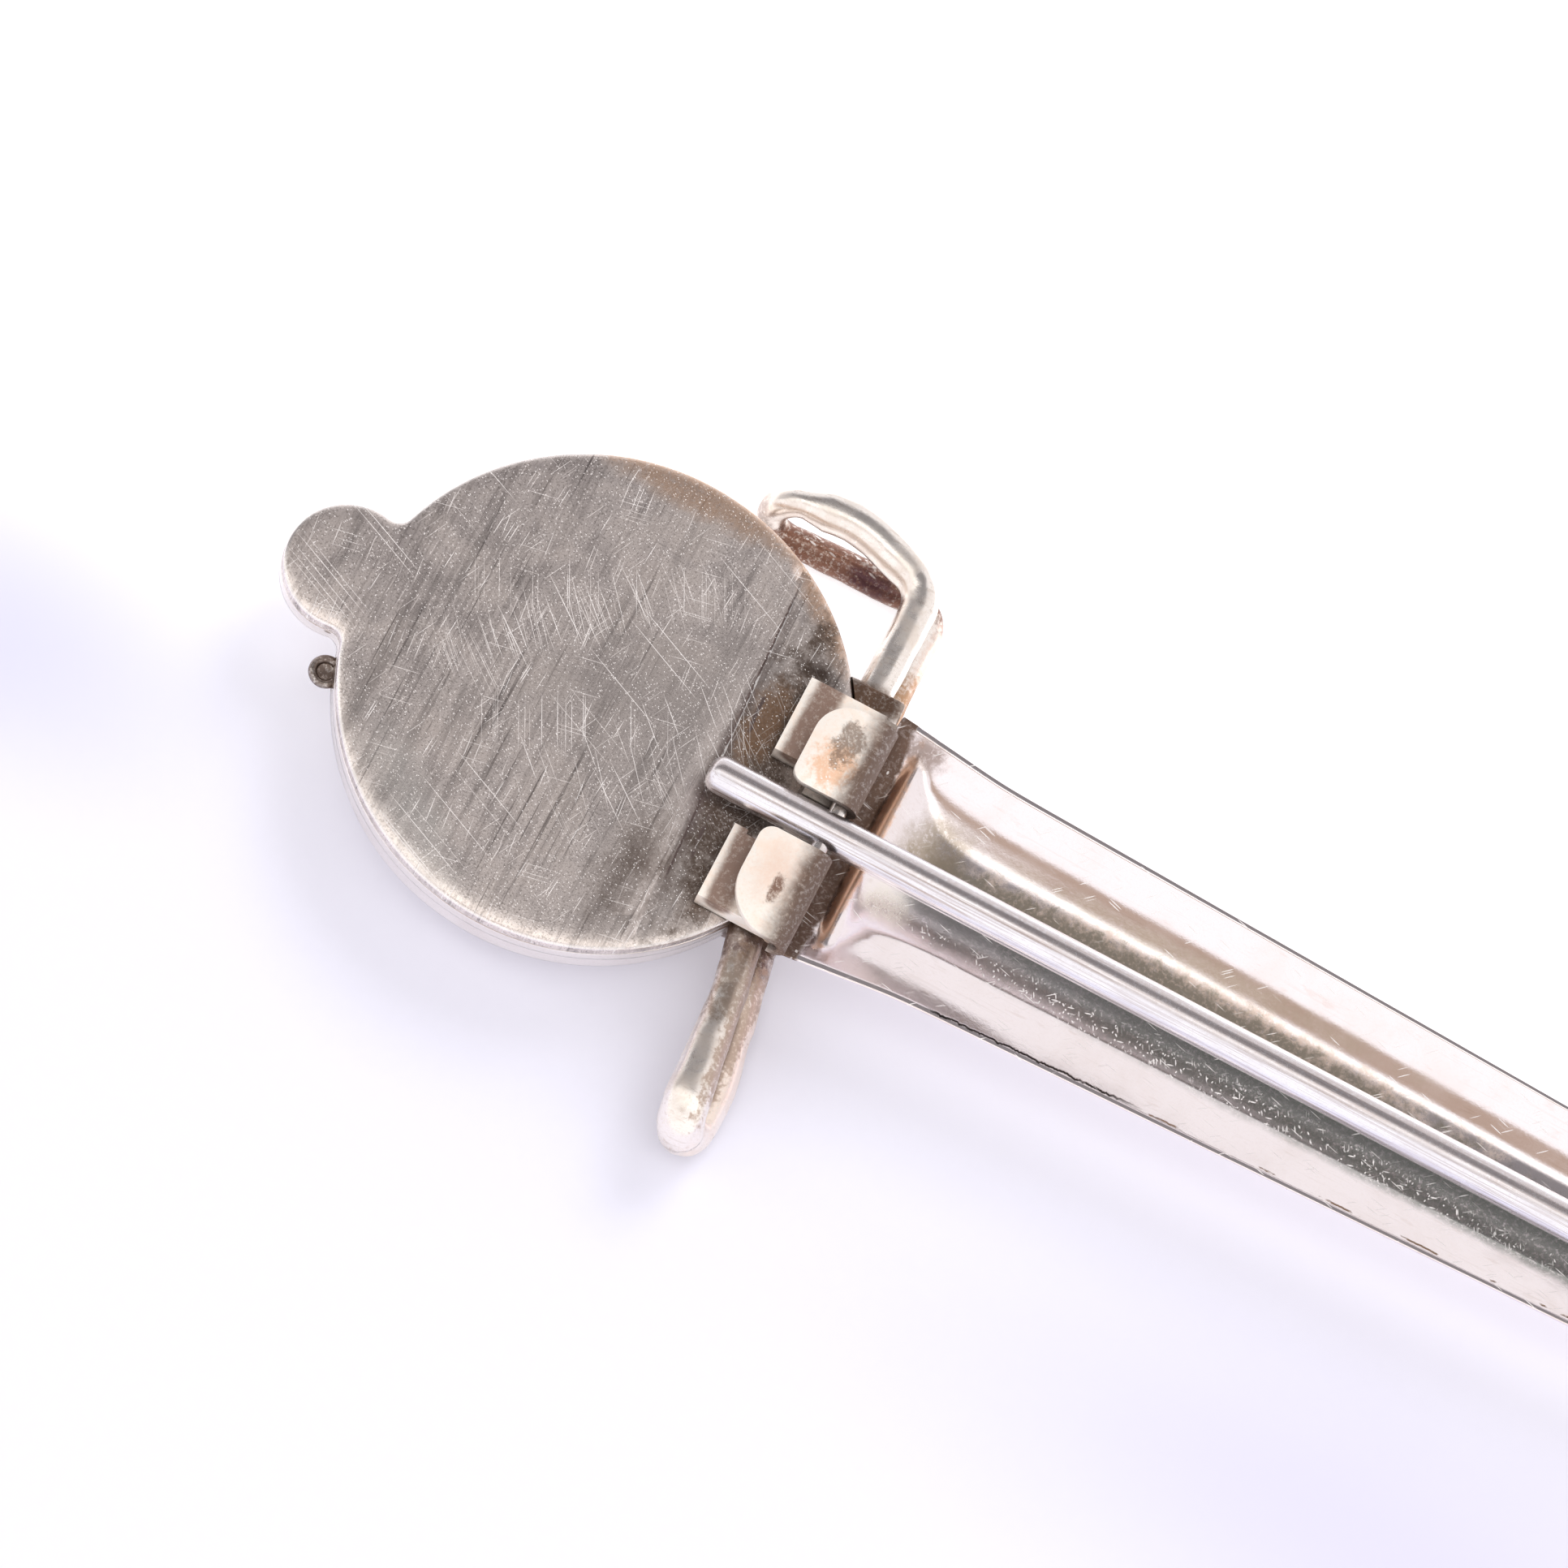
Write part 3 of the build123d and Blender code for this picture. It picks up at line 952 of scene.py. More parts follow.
    def scribe(self, obj: bpy.types.Object, x: float, width: float, depth: float) -> None:
        """Cuts a scribed line across the upper face.

        Args:
            obj: The plate.
            x: Where the line crosses the middle.
            width: Width of the line.
            depth: Depth of the line.
        """
        lean = math.radians(self.lines_lean)
        across = Vector((math.cos(lean), math.sin(lean), 0.0))
        with editing(obj):
            for side in (-width / 2, 0.0, width / 2):
                bpy.ops.mesh.select_all(action="SELECT")
                bpy.ops.mesh.bisect(plane_co=at(x + side, 0, 0), plane_no=across)
            pick_points(obj, lambda p: abs((p - Vector((x, 0, 0))).dot(across)) < 0.003
                        and p.z > BACK_Z - self.plate_t / 2)
            bpy.ops.transform.translate(value=(0, 0, -depth * MM))

    def dome(self, name: str, middle: tuple[float, float], radius: float, flat_r: float,
             top: float, side: float, low: float) -> bpy.types.Object:
        """Rounded front of the basket or pommel.

        Args:
            name: Name of the piece.
            middle: Its middle.
            radius: Its side wall.
            flat_r: The flat that it ends in.
            top: Where its side wall begins.
            side: Where the wall turns into the dome.
            low: Height of the flat.

        Returns:
            The closed dome.
        """
        bpy.ops.object.select_all(action="DESELECT")
        bpy.ops.mesh.primitive_circle_add(vertices=self.dome_facets, radius=radius * MM,
                                          fill_type="NGON", location=at(*middle, top))
        obj = settle(name)
        centre = at(*middle, 0)
        with editing(obj):
            bpy.ops.mesh.select_all(action="SELECT")
            extrude(0, 0, side - top)
            last_r, last_z = radius, side
            for step in range(1, self.dome_steps + 1):
                angle = math.pi / 2 * step / self.dome_steps
                here_r = flat_r + (radius - flat_r) * math.cos(angle)
                here_z = side - (side - low) * math.sin(angle)
                extrude(0, 0, here_z - last_z)
                widen(here_r / last_r, here_r / last_r, 1, centre)
                last_r, last_z = here_r, here_z
        outward(obj)
        return obj

    def basket(self) -> bpy.types.Object:
        """Cast front: rim in the plate's outline, with the two domes below it.

        Returns:
            The basket in one object.
        """
        top = BACK_Z - self.plate_t - self.seam
        inside = (top + self.pommel_z) / 2
        rim = self.outline("hilt_basket_shell", top, top - self.pommel_z)
        finish_with(rim, "BEVEL", width=self.rim_wear * MM, segments=2, limit_method="ANGLE",
                    angle_limit=math.radians(self.sharp))
        wall = self.dome("basket_dome", (0.0, 0.0), self.radius - self.ledge, self.flat_r,
                         inside, self.wall_z, 0.0)
        knob = self.dome("pommel_dome", self.pommel, self.pommel_r - self.ledge,
                         self.pommel_flat_r, inside, self.pommel_z, self.pommel_low_z)
        obj = join([rim, wall, knob], "hilt_basket_shell")
        smooth(obj)
        return obj

    def curl(self) -> bpy.types.Object:
        """Small curl of the front ornament that shows in the notch, round a dished leaf.

        Returns:
            The curl.
        """
        x, y, z = self.curl_at
        bpy.ops.object.select_all(action="DESELECT")
        bpy.ops.mesh.primitive_circle_add(
            vertices=20, radius=self.curl_wire_r * MM, fill_type="NGON",
            location=at(x + self.curl_r, y, z), rotation=(math.pi / 2, 0, 0))
        ring = settle("front_curl")
        with editing(ring):
            bpy.ops.mesh.select_all(action="SELECT")
            turn_round(at(x, y, z), Vector((0, 0, 1)), -math.radians(self.curl_turn),
                       self.curl_steps)
        outward(ring)
        bpy.ops.object.select_all(action="DESELECT")
        bpy.ops.mesh.primitive_circle_add(
            vertices=40, radius=self.curl_r * MM, fill_type="NGON",
            location=at(x, y, z - self.leaf_t))
        leaf = settle("curl_leaf")
        with editing(leaf):
            bpy.ops.mesh.select_all(action="SELECT")
            extrude(0, 0, self.leaf_t)
            widen(0.8, 0.8, 1, at(x, y, z))
            extrude(0, 0, -self.leaf_dish)
            widen(0.5, 0.5, 1, at(x, y, z))
        outward(leaf)
        obj = join([ring, leaf], "front_curl")
        smooth(obj, 60)
        return obj

    def build(self) -> None:
        """Builds, dresses and hands over the hilt's pieces."""
        plate = self.back_plate()
        dress(plate, PLATE_FINISH)
        hand_over(plate, Body.PIN, Slot.PLATE, "hilt_back_plate")
        for piece in (self.basket(), self.curl()):
            dress(piece, CAST_FINISH)
            hand_over(piece, Body.PIN, Slot.CAST, "hilt_basket")


@dataclass(frozen=True)
class Loop:
    """Hairpin of hammered wire that grows out of an end of the guard bar."""

    name: str
    # Corners, each as (along the blade from the bar's middle, across the blade, height).
    corners: tuple[Place, ...]
    bends: tuple[float, ...]
    radii: tuple[float, ...]
    wobble: Wobble = Wobble(0.13, 1.1)
    sharp: float = 70.0

    def build(self, middle: float) -> bpy.types.Object:
        """Bends the wire and hammers it.

        Args:
            middle: Place of the bar's middle along the blade.

        Returns:
            The loop.
        """
        points = [(middle + along, across, height) for along, across, height in self.corners]
        obj = BentWire(self.name, points, self.bends, self.radii).build()
        self.wobble.work(obj)
        smooth(obj, self.sharp)
        return obj


@dataclass
class Guard:
    """Bar across the blade's root with a wire loop at each end."""

    x0: float = 6.94
    x1: float = 9.24
    low: float = 1.2
    right_end: float = 5.0
    left_end: float = -4.5
    edge: float = 0.12
    cuts: int = 10
    room: float = 0.02
    room_z: float = 3.96
    wobble: Wobble = Wobble(0.16, 0.7)
    seat: float = 0.4
    high_z: float = 2.65
    low_z: float = 0.66
    left_low_z: float = 0.81
    root_z: float = 1.3

    def bar(self) -> bpy.types.Object:
        """Bar with worn edges, cut clear of the back plate.

        Returns:
            The bar.
        """
        size = Vector((self.x1 - self.x0, self.right_end - self.left_end, BACK_Z - self.low))
        middle = at((self.x0 + self.x1) / 2, (self.right_end + self.left_end) / 2,
                    (BACK_Z + self.low) / 2)
        bpy.ops.object.select_all(action="DESELECT")
        bpy.ops.mesh.primitive_cube_add(size=MM, location=middle, scale=size)
        obj = settle("guard_bar")
        with editing(obj):
            bpy.ops.mesh.select_all(action="SELECT")
            bpy.ops.mesh.bevel(offset=self.edge * MM, segments=2, affect="EDGES")
            bpy.ops.mesh.select_all(action="SELECT")
            bpy.ops.mesh.subdivide(number_cuts=self.cuts)
        bpy.ops.object.select_all(action="DESELECT")
        bpy.ops.mesh.primitive_cylinder_add(vertices=180, radius=(PLATE_R + self.room) * MM,
                                            depth=2 * MM, location=at(0, 0, self.room_z))
        room = settle("plate_room")
        finish_with(obj, "BOOLEAN", operation="DIFFERENCE", object=room, solver="EXACT")
        bpy.data.objects.remove(room)
        self.wobble.work(obj)
        smooth(obj)
        return obj

    def right_loop(self) -> Loop:
        """Hairpin that bends round towards the pommel, fullest in its crown.

        Returns:
            The loop's sizes.
        """
        root = self.right_end - self.seat
        return Loop(
            "right_guard_loop",
            corners=((0.0, root, self.high_z), (0.05, 9.28, self.high_z),
                     (-3.02, 10.40, self.high_z), (-5.84, 9.87, self.high_z),
                     (-5.84, 9.35, self.low_z), (0.60, 9.62, self.low_z),
                     (0.60, root, self.root_z)),
            bends=(1.35, 4.4, 0.95, 0.95, 1.2),
            radii=(0.62, 0.64, 0.70, 0.50, 0.50, 0.56, 0.60))

    def left_loop(self) -> Loop:
        """Hairpin that runs straight out, narrow at its root.

        Returns:
            The loop's sizes.
        """
        root = self.left_end + self.seat
        out = self.left_end - 6.9
        return Loop(
            "left_guard_loop",
            corners=((-0.14, root, self.high_z), (0.36, root - 2.4, self.high_z),
                     (0.84, out, self.high_z), (1.34, out, self.left_low_z),
                     (1.47, root - 5.8, self.left_low_z), (1.03, root - 2.8, self.left_low_z),
                     (0.5, root, self.root_z)),
            bends=(1.6, 0.93, 0.93, 5.0, 5.0),
            radii=(0.64, 0.60, 0.79, 0.74, 0.74, 0.66, 0.6))

    def build(self) -> None:
        """Builds, dresses and hands over the guard."""
        middle = (self.x0 + self.x1) / 2
        pieces = [self.bar()]
        pieces += [loop.build(middle) for loop in (self.right_loop(), self.left_loop())]
        for piece in pieces:
            dress(piece, GUARD_FINISH)
            hand_over(piece, Body.PIN, Slot.CAST, "hilt_basket")


@dataclass
class Blade:
    """Hollow blade: a trough with thin rims, a ridge in front and a solid point."""

    x0: float = 9.26
    y: float = -0.1
    rim_z: float = 3.4
    # Half sections, each point as (share of the half width, depth under the rim).
    rim: tuple[tuple[float, float], ...] = ((1.0, 0.10), (1.0, 0.0), (0.985, 0.0), (0.957, 0.0))
    far: tuple[tuple[float, float], ...] = (
        (0.945, 0.03), (0.87, 0.20), (0.78, 0.42), (0.69, 0.617), (0.62, 0.73), (0.55, 0.822),
        (0.49, 0.905), (0.44, 0.96), (0.40, 0.983), (0.36, 1.0), (0.20, 1.0))
    near: tuple[tuple[float, float], ...] = (
        (0.945, 0.03), (0.86, 0.21), (0.77, 0.385), (0.68, 0.565), (0.59, 0.745), (0.50, 0.92),
        (0.462, 0.985), (0.445, 1.0), (0.40, 1.0), (0.27, 1.0), (0.13, 1.0))
    front: tuple[tuple[float, float], ...] = ((0.995, 0.16), (0.75, 0.83), (0.53, 1.45),
                                              (0.50, 1.52), (0.25, 1.82), (0.03, 2.09))
    keel: float = 2.1
    root_half: float = 4.77
    # Stations, each as (place along the blade, half width).
    halves: tuple[tuple[float, float], ...] = (
        (9.26, 4.77), (9.34, 4.76), (9.6, 4.73), (9.9, 4.70), (10.05, 4.68), (10.12, 4.67),
        (10.22, 4.66), (10.34, 4.65), (10.44, 4.63), (10.56, 4.62), (10.70, 4.60),
        (10.84, 4.58), (10.96, 4.57), (11.2, 4.54), (11.7, 4.48), (12.3, 4.40), (13.0, 4.32),
        (13.8, 4.25), (14.8, 4.21), (16.0, 4.17), (18.0, 4.10))
    taper_step: float = 2.0
    taper_x: float = 64.0
    taper_half: float = 2.49
    # Stations of the point, each as (place, half width, share of the depth).
    point: tuple[tuple[float, float, float], ...] = (
        (65.96, 2.42, 1.0), (67.0, 2.18, 0.98), (68.5, 1.84, 0.93), (70.0, 1.49, 0.86),
        (70.46, 1.39, 0.83), (71.5, 1.15, 0.76), (73.0, 0.80, 0.62), (74.2, 0.53, 0.48),
        (74.8, 0.38, 0.40), (74.96, 0.30, 0.36))
    # Trough's base beside the hinge, each as (place along the blade, depth under the rim).
    crest: tuple[tuple[float, float], ...] = (
        (10.05, 0.92), (10.12, 0.78), (10.22, 0.60), (10.34, 0.44), (10.44, 0.36), (10.56, 0.35),
        (10.70, 0.40), (10.84, 0.48), (10.96, 0.55), (11.2, 0.69), (11.7, 0.85), (12.3, 0.95),
        (13.0, 0.99))
    inside_z: float = 2.2
    solid_x: float = 70.8
    solid_z: float = 2.75
    solid_half: float = 1.1
    solid_share: float = 0.08
    wobble: Wobble = Wobble(0.03, 3.5)
    sharp: float = 60.0

    def ring(self) -> list[tuple[float, float]]:
        """Section of the blade at its root as (across, down) in millimetres.

        Returns:
            The points round the section, starting at the +Y rim.
        """
        far = list(self.rim + self.far)
        near = [(-share, drop) for share, drop in reversed(self.rim + self.near)]
        below = [(-share, drop) for share, drop in self.front] + [(0.0, self.keel)]
        below += [(share, drop) for share, drop in reversed(self.front)]
        return [(share * self.root_half, drop)
                for share, drop in far + [(0.0, 1.0)] + near + below]

    def stations(self) -> list[tuple[float, float, float]]:
        """Sets out the places along the blade.

        Returns:
            Each place with the half width and the share of the depth there.
        """
        rows = [(x, half, 1.0) for x, half in self.halves]
        start_x, start_half = self.halves[-1]
        count = round((self.taper_x - start_x) / self.taper_step)
        for step in range(1, count + 1):
            share = step / count
            rows.append((start_x + (self.taper_x - start_x) * share,
                         start_half + (self.taper_half - start_half) * share, 1.0))
        return rows + list(self.point)

    def shape(self) -> bpy.types.Object:
        """Extrudes the section from station to station, narrowing it as it goes.

        Returns:
            The blade.
        """
        ring = self.ring()
        bpy.ops.object.select_all(action="DESELECT")
        bpy.ops.mesh.primitive_circle_add(
            vertices=len(ring), radius=MM, fill_type="NGON", location=at(self.x0, self.y, 0),
            rotation=(math.pi / 2, 0, math.pi / 2))
        obj = settle("blade_trough")
        stations = self.stations()
        with editing(obj):
            for index, (across, drop) in enumerate(ring):
                target = at(self.x0, self.y + across, self.rim_z - drop)
                mesh = bmesh.from_edit_mesh(obj.data)
                mesh.verts.ensure_lookup_table()
                for point in mesh.verts:
                    point.select_set(point.index == index)
                here = mesh.verts[index].co.copy()
                bmesh.update_edit_mesh(obj.data)
                bpy.ops.transform.translate(value=target - here)
            bpy.ops.mesh.select_all(action="SELECT")
            for before, after in zip(stations, stations[1:]):
                extrude(after[0] - before[0], 0, 0)
                widen(1, after[1] / before[1], after[2] / before[2],
                      at(after[0], self.y, self.rim_z))
            self.raise_end_wall(obj)
            self.fill_point(obj)
        outward(obj)
        finish_with(obj, "SUBSURF", levels=2, render_levels=2)
        self.wobble.work(obj)
        smooth(obj, self.sharp)
        return obj

    def raise_end_wall(self, obj: bpy.types.Object) -> None:
        """Lifts the trough's base beside the hinge into a crest that slopes down to the tip.

        Args:
            obj: The blade, open in edit mode.
        """
        for x, drop in self.crest:
            floor_z = self.rim_z - drop
            pick_points(obj, lambda p, x=x, floor_z=floor_z: abs(p.x - x) < 0.01
                        and self.inside_z < p.z < floor_z - 0.004)
            widen(1, 1, 0, at(x, self.y, floor_z))

    def fill_point(self, obj: bpy.types.Object) -> None:
        """Closes the trough where the point turns solid."""
        pick_points(obj, lambda p: p.x > self.solid_x and p.z > self.solid_z
                    and abs(p.y - self.y) < self.solid_half)
        widen(1, 1, self.solid_share, at(self.solid_x, self.y, self.rim_z))

    def build(self) -> None:
        """Builds, dresses and hands over the blade."""
        obj = self.shape()
        dress(obj, BLADE_FINISH)
        hand_over(obj, Body.PIN, Slot.BLADE, "blade")


@dataclass
class Hinge:
    """Slotted strip folded round a rivet on its shelf."""

    wear: float = 0.13
    rivet_wear: float = 0.05
    tab_outer: float = -2.62
    tab_inner: float = -2.0
    tab_low_z: float = 4.6
    tab_reach: float = 0.38

    def draw_tab(self, strip: bpy.types.Object) -> None:
        """Draws the left tab's inner side out towards the stem."""
        pick_points(strip, lambda p: self.tab_outer < p.y < self.tab_inner
                    and p.z > self.tab_low_z)
        bpy.ops.transform.translate(value=(0, self.tab_reach * MM, 0))

    def build(self) -> None:
        """Draws the left tab out, rounds the edges of strip and rivet and dresses them."""
        strip = worn_copy("hinge_bracket", "hinge_strip", self.wear, before=self.draw_tab)
        dress(strip, STRIP_FINISH)
        hand_over(strip, Body.PIN, Slot.BRACKET, "hinge_bracket")
        rivet = worn_copy("hinge_rivet", "hinge_pin", self.rivet_wear)
        dress(rivet, FITTING_FINISH)
        hand_over(rivet, Body.PIN, Slot.FITTING, "hinge_rivet")


@dataclass
class Stem:
    """Round wire with a short tail and a tapered point."""

    tail_x: float = 4.4
    y: float = -0.75
    z: float = 4.8
    radius: float = 0.65
    round_in: float = 0.45
    taper_x: float = 63.5
    tip_x: float = 72.0
    tip_r: float = 0.12
    tip_round: float = 0.06
    facets: int = 32
    end_steps: int = 6
    steps: int = 60
    taper_steps: int = 12
    sharp: float = 50.0

    def stations(self) -> list[tuple[float, float]]:
        """Sets out the rounded end, the straight run and the taper.

        Returns:
            Each place along the wire with the radius there.
        """
        rows = []
        for step in range(1, self.end_steps + 1):
            angle = math.pi / 2 * step / self.end_steps
            rows.append((self.tail_x + self.round_in * (1 - math.cos(angle)),
                         self.radius - self.round_in * (1 - math.sin(angle))))
        start = rows[-1][0]
        rows += [(start + (self.taper_x - start) * step / self.steps, self.radius)
                 for step in range(1, self.steps + 1)]
        for step in range(1, self.taper_steps + 1):
            rows.append((self.taper_x + (self.tip_x - self.taper_x) * step / self.taper_steps,
                         self.radius + (self.tip_r - self.radius) * step / self.taper_steps))
        return rows

    def build(self) -> None:
        """Draws the wire out, tapers it, dresses it and hands it over."""
        bpy.ops.object.select_all(action="DESELECT")
        bpy.ops.mesh.primitive_circle_add(
            vertices=self.facets, radius=(self.radius - self.round_in) * MM, fill_type="NGON",
            location=at(self.tail_x, self.y, self.z), rotation=(0, math.pi / 2, 0))
        obj = settle("stem_wire")
        with editing(obj):
            bpy.ops.mesh.select_all(action="SELECT")
            last_x, last_r = self.tail_x, self.radius - self.round_in
            for x, radius in self.stations():
                extrude(x - last_x, 0, 0)
                widen(1, radius / last_r, radius / last_r, at(x, self.y, self.z))
                last_x, last_r = x, radius
            bpy.ops.mesh.bevel(offset=self.tip_round * MM, segments=3, affect="EDGES")
        outward(obj)
        smooth(obj, self.sharp)
        dress(obj, STEM_FINISH)
        hand_over(obj, Body.STEM, Slot.STEM, "stem")


@dataclass
class Catch:
    """Open hook that holds the stem's point."""

    wear: float = 0.09

    def build(self) -> None:
        """Rounds the hook's edges, dresses it and hands it over."""
        hook = worn_copy("catch", "catch_hook", self.wear)
        dress(hook, FITTING_FINISH)
        hand_over(hook, Body.PIN, Slot.FITTING, "catch")


# Finishes of the pin

# Colours of tarnish; in corners they carry painted shade too.
BROWN = (0.20, 0.13, 0.09)
BLACK = (0.055, 0.038, 0.03)

# Zones that hold a set of scratched lines; the cavity, tab and lower strand zones hold painted
# glints.
TROUGH_NEAR = StainAndPaintedLight((25.0, -1.45, 2.4), (15.0, 0.62, 0.5), BROWN, ragged=1.1, grain=0.9,
                    mottle=0.2)
CAVITY_GLINTS = StainAndPaintedLight((9.75, -0.1, 2.7), (0.16, 9.0, 1.4), BROWN, ragged=0.7, grain=2.0,
                      mottle=0.0)
TAB_GLINTS = StainAndPaintedLight((8.0, 1.4, 5.45), (0.8, 1.3, 0.5), BROWN, ragged=1.0, grain=2.0, mottle=0.0)
LOW_STRAND = StainAndPaintedLight((4.9, 9.75, 1.2), (5.0, 0.5, 0.5), BROWN, ragged=0.9, grain=1.5, mottle=0.2)
PLATE_MIDDLE = StainAndPaintedLight((0.2, 0.8, 3.6), (6.8, 6.0, 2.0), BROWN, ragged=0.5, grain=0.5, mottle=0.0)

PLATE_FINISH = Silver(
    "brushed_plate_silver", (0.90, 0.81, 0.76), (0.36, 0.31, 0.28), 0.33, cloud_size=2.2,
    cloud_share=0.42, grain_size=0.075, grain_share=0.7, edge=0.6,
    streaks=(Streaks(90.0, (6.0, 0.16, 1.0), 0.50, (0.50, 0.44, 0.41), 0.5),
             Streaks(90.0, (7.0, 0.55, 1.0), 0.54, (0.34, 0.30, 0.28), 0.5),
             Streaks(90.0, (6.0, 0.14, 1.0), 0.59, (0.19, 0.16, 0.15), 0.8)),
    stains_and_painted_light=(
        # Grey painted shade towards the hinge, and a grey cloud over the middle.
        StainAndPaintedLight((5.0, -1.5, 3.6), (5.0, 8.5, 2.0), (0.50, 0.45, 0.42), 0.36, ragged=0.5,
              grain=0.4, share=0.5, soft=1.2),
        StainAndPaintedLight((1.2, 1.0, 3.6), (6.2, 4.2, 2.0), (0.50, 0.45, 0.42), 0.34, turn=28.0,
              ragged=0.6, grain=0.5, share=0.55, soft=1.4, mottle=0.2),
        # Tarnish along the scribed lines.
        StainAndPaintedLight((4.62, 0.2, 3.6), (0.42, 7.0, 2.0), (0.17, 0.13, 0.12), 0.4, turn=2.9,
              ragged=0.8, grain=1.0, share=0.85, soft=0.9, mottle=0.3),
        # Warm brown at the rim on the right loop's side.
        StainAndPaintedLight((0.6, 8.4, 3.6), (6.5, 1.1, 2.0), (0.70, 0.46, 0.31), 0.34, ragged=0.5,
              grain=0.8, share=0.7),
        StainAndPaintedLight((5.2, 6.9, 3.6), (3.4, 0.8, 2.0), (0.72, 0.46, 0.30), 0.34, turn=-42.0,
              ragged=0.5, grain=0.8, share=0.7),
        # Painted highlight near the opposite rim.
        StainAndPaintedLight((-3.6, -6.6, 3.6), (4.8, 1.4, 2.0), (0.97, 0.93, 0.87), 0.28, turn=-40.0,
              ragged=0.7, grain=0.9, share=0.6, soft=1.2),
        # Dark tarnish beside the scribed lines and up to the hinge, with painted shade of the
        # hinge's shelf in it.
        StainAndPaintedLight((3.6, -4.6, 3.6), (1.4, 3.0, 2.0), (0.16, 0.12, 0.10), 0.4, ragged=1.0,
              grain=0.9, share=0.85, soft=1.2, mottle=0.4),
        StainAndPaintedLight((5.8, 0.2, 3.6), (1.5, 8.0, 2.0), (0.12, 0.085, 0.065), 0.5, ragged=1.0,
              grain=1.0, share=0.95, soft=0.75, mottle=0.5),
        StainAndPaintedLight((6.2, 4.5, 3.6), (1.6, 0.55, 2.0), (0.06, 0.042, 0.035), 0.5, turn=-12.0,
              ragged=0.9, grain=1.0, share=0.9, soft=1.2, mottle=0.2),
        StainAndPaintedLight((5.3, 2.0, 3.6), (0.8, 2.0, 2.0), (0.26, 0.16, 0.10), 0.5, ragged=1.1,
              grain=1.6, share=0.8)),
    # The first line is a painted highlight beside a scribed line; the other two are dark.
    cracks_and_highlights=(CrackOrPaintedHighlight((4.66, -1.2, 3.6), 92.9, 8.6, 0.05, 0.02, (0.97, 0.93, 0.90), 0.36),
            CrackOrPaintedHighlight((4.80, -4.6, 3.6), 92.9, 12.2, 0.06, 0.03, (0.16, 0.12, 0.11), 0.30),
            CrackOrPaintedHighlight((5.24, -4.0, 3.6), 92.9, 9.0, 0.10, 0.08, (0.16, 0.12, 0.11), 0.45)),
    # Scratched lines painted bright as their glint.
    scratches_and_glints=(ScratchesAndGlints(-38.0, 3.4, 0.016, 0.18, 0.85, PLATE_MIDDLE),
               ScratchesAndGlints(-44.0, 2.2, 0.014, 0.18, 0.85, PLATE_MIDDLE),
               ScratchesAndGlints(-51.0, 3.0, 0.013, 0.17, 0.7, PLATE_MIDDLE),
               ScratchesAndGlints(-64.0, 2.4, 0.014, 0.13, 0.8, PLATE_MIDDLE),
               ScratchesAndGlints(-84.0, 1.3, 0.014, 0.09, 0.7),
               ScratchesAndGlints(12.0, 1.5, 0.012, 0.07, 0.6),
               ScratchesAndGlints(64.0, 1.2, 0.012, 0.07, 0.6),
               ScratchesAndGlints(-24.0, 4.5, 0.015, 0.08, 0.8),
               ScratchesAndGlints(86.0, 1.0, 0.016, 0.08, 0.8),
               ScratchesAndGlints(-33.0, 0.08, 0.016, 0.24, 0.9),
               ScratchesAndGlints(52.0, 0.05, 0.018, 0.18, 0.9)),
    corner_tarnish_and_shade=CornerTarnishAndShade(BLACK, 0.9, 0.70, 0.28, 0.9))

CAST_FINISH = Silver(
    "polished_cast_silver", (0.95, 0.90, 0.86), (0.76, 0.68, 0.63), 0.12, cloud_share=0.3,
    pit_depth=0.005,
    stains_and_painted_light=(StainAndPaintedLight((-8.42, -2.95, 1.8), (1.1, 1.1, 0.8), (0.17, 0.13, 0.11), 0.35, grain=2.0,
                  share=0.95),),
    corner_tarnish_and_shade=CornerTarnishAndShade(BROWN, 0.7, 0.6, 0.2, 0.8))

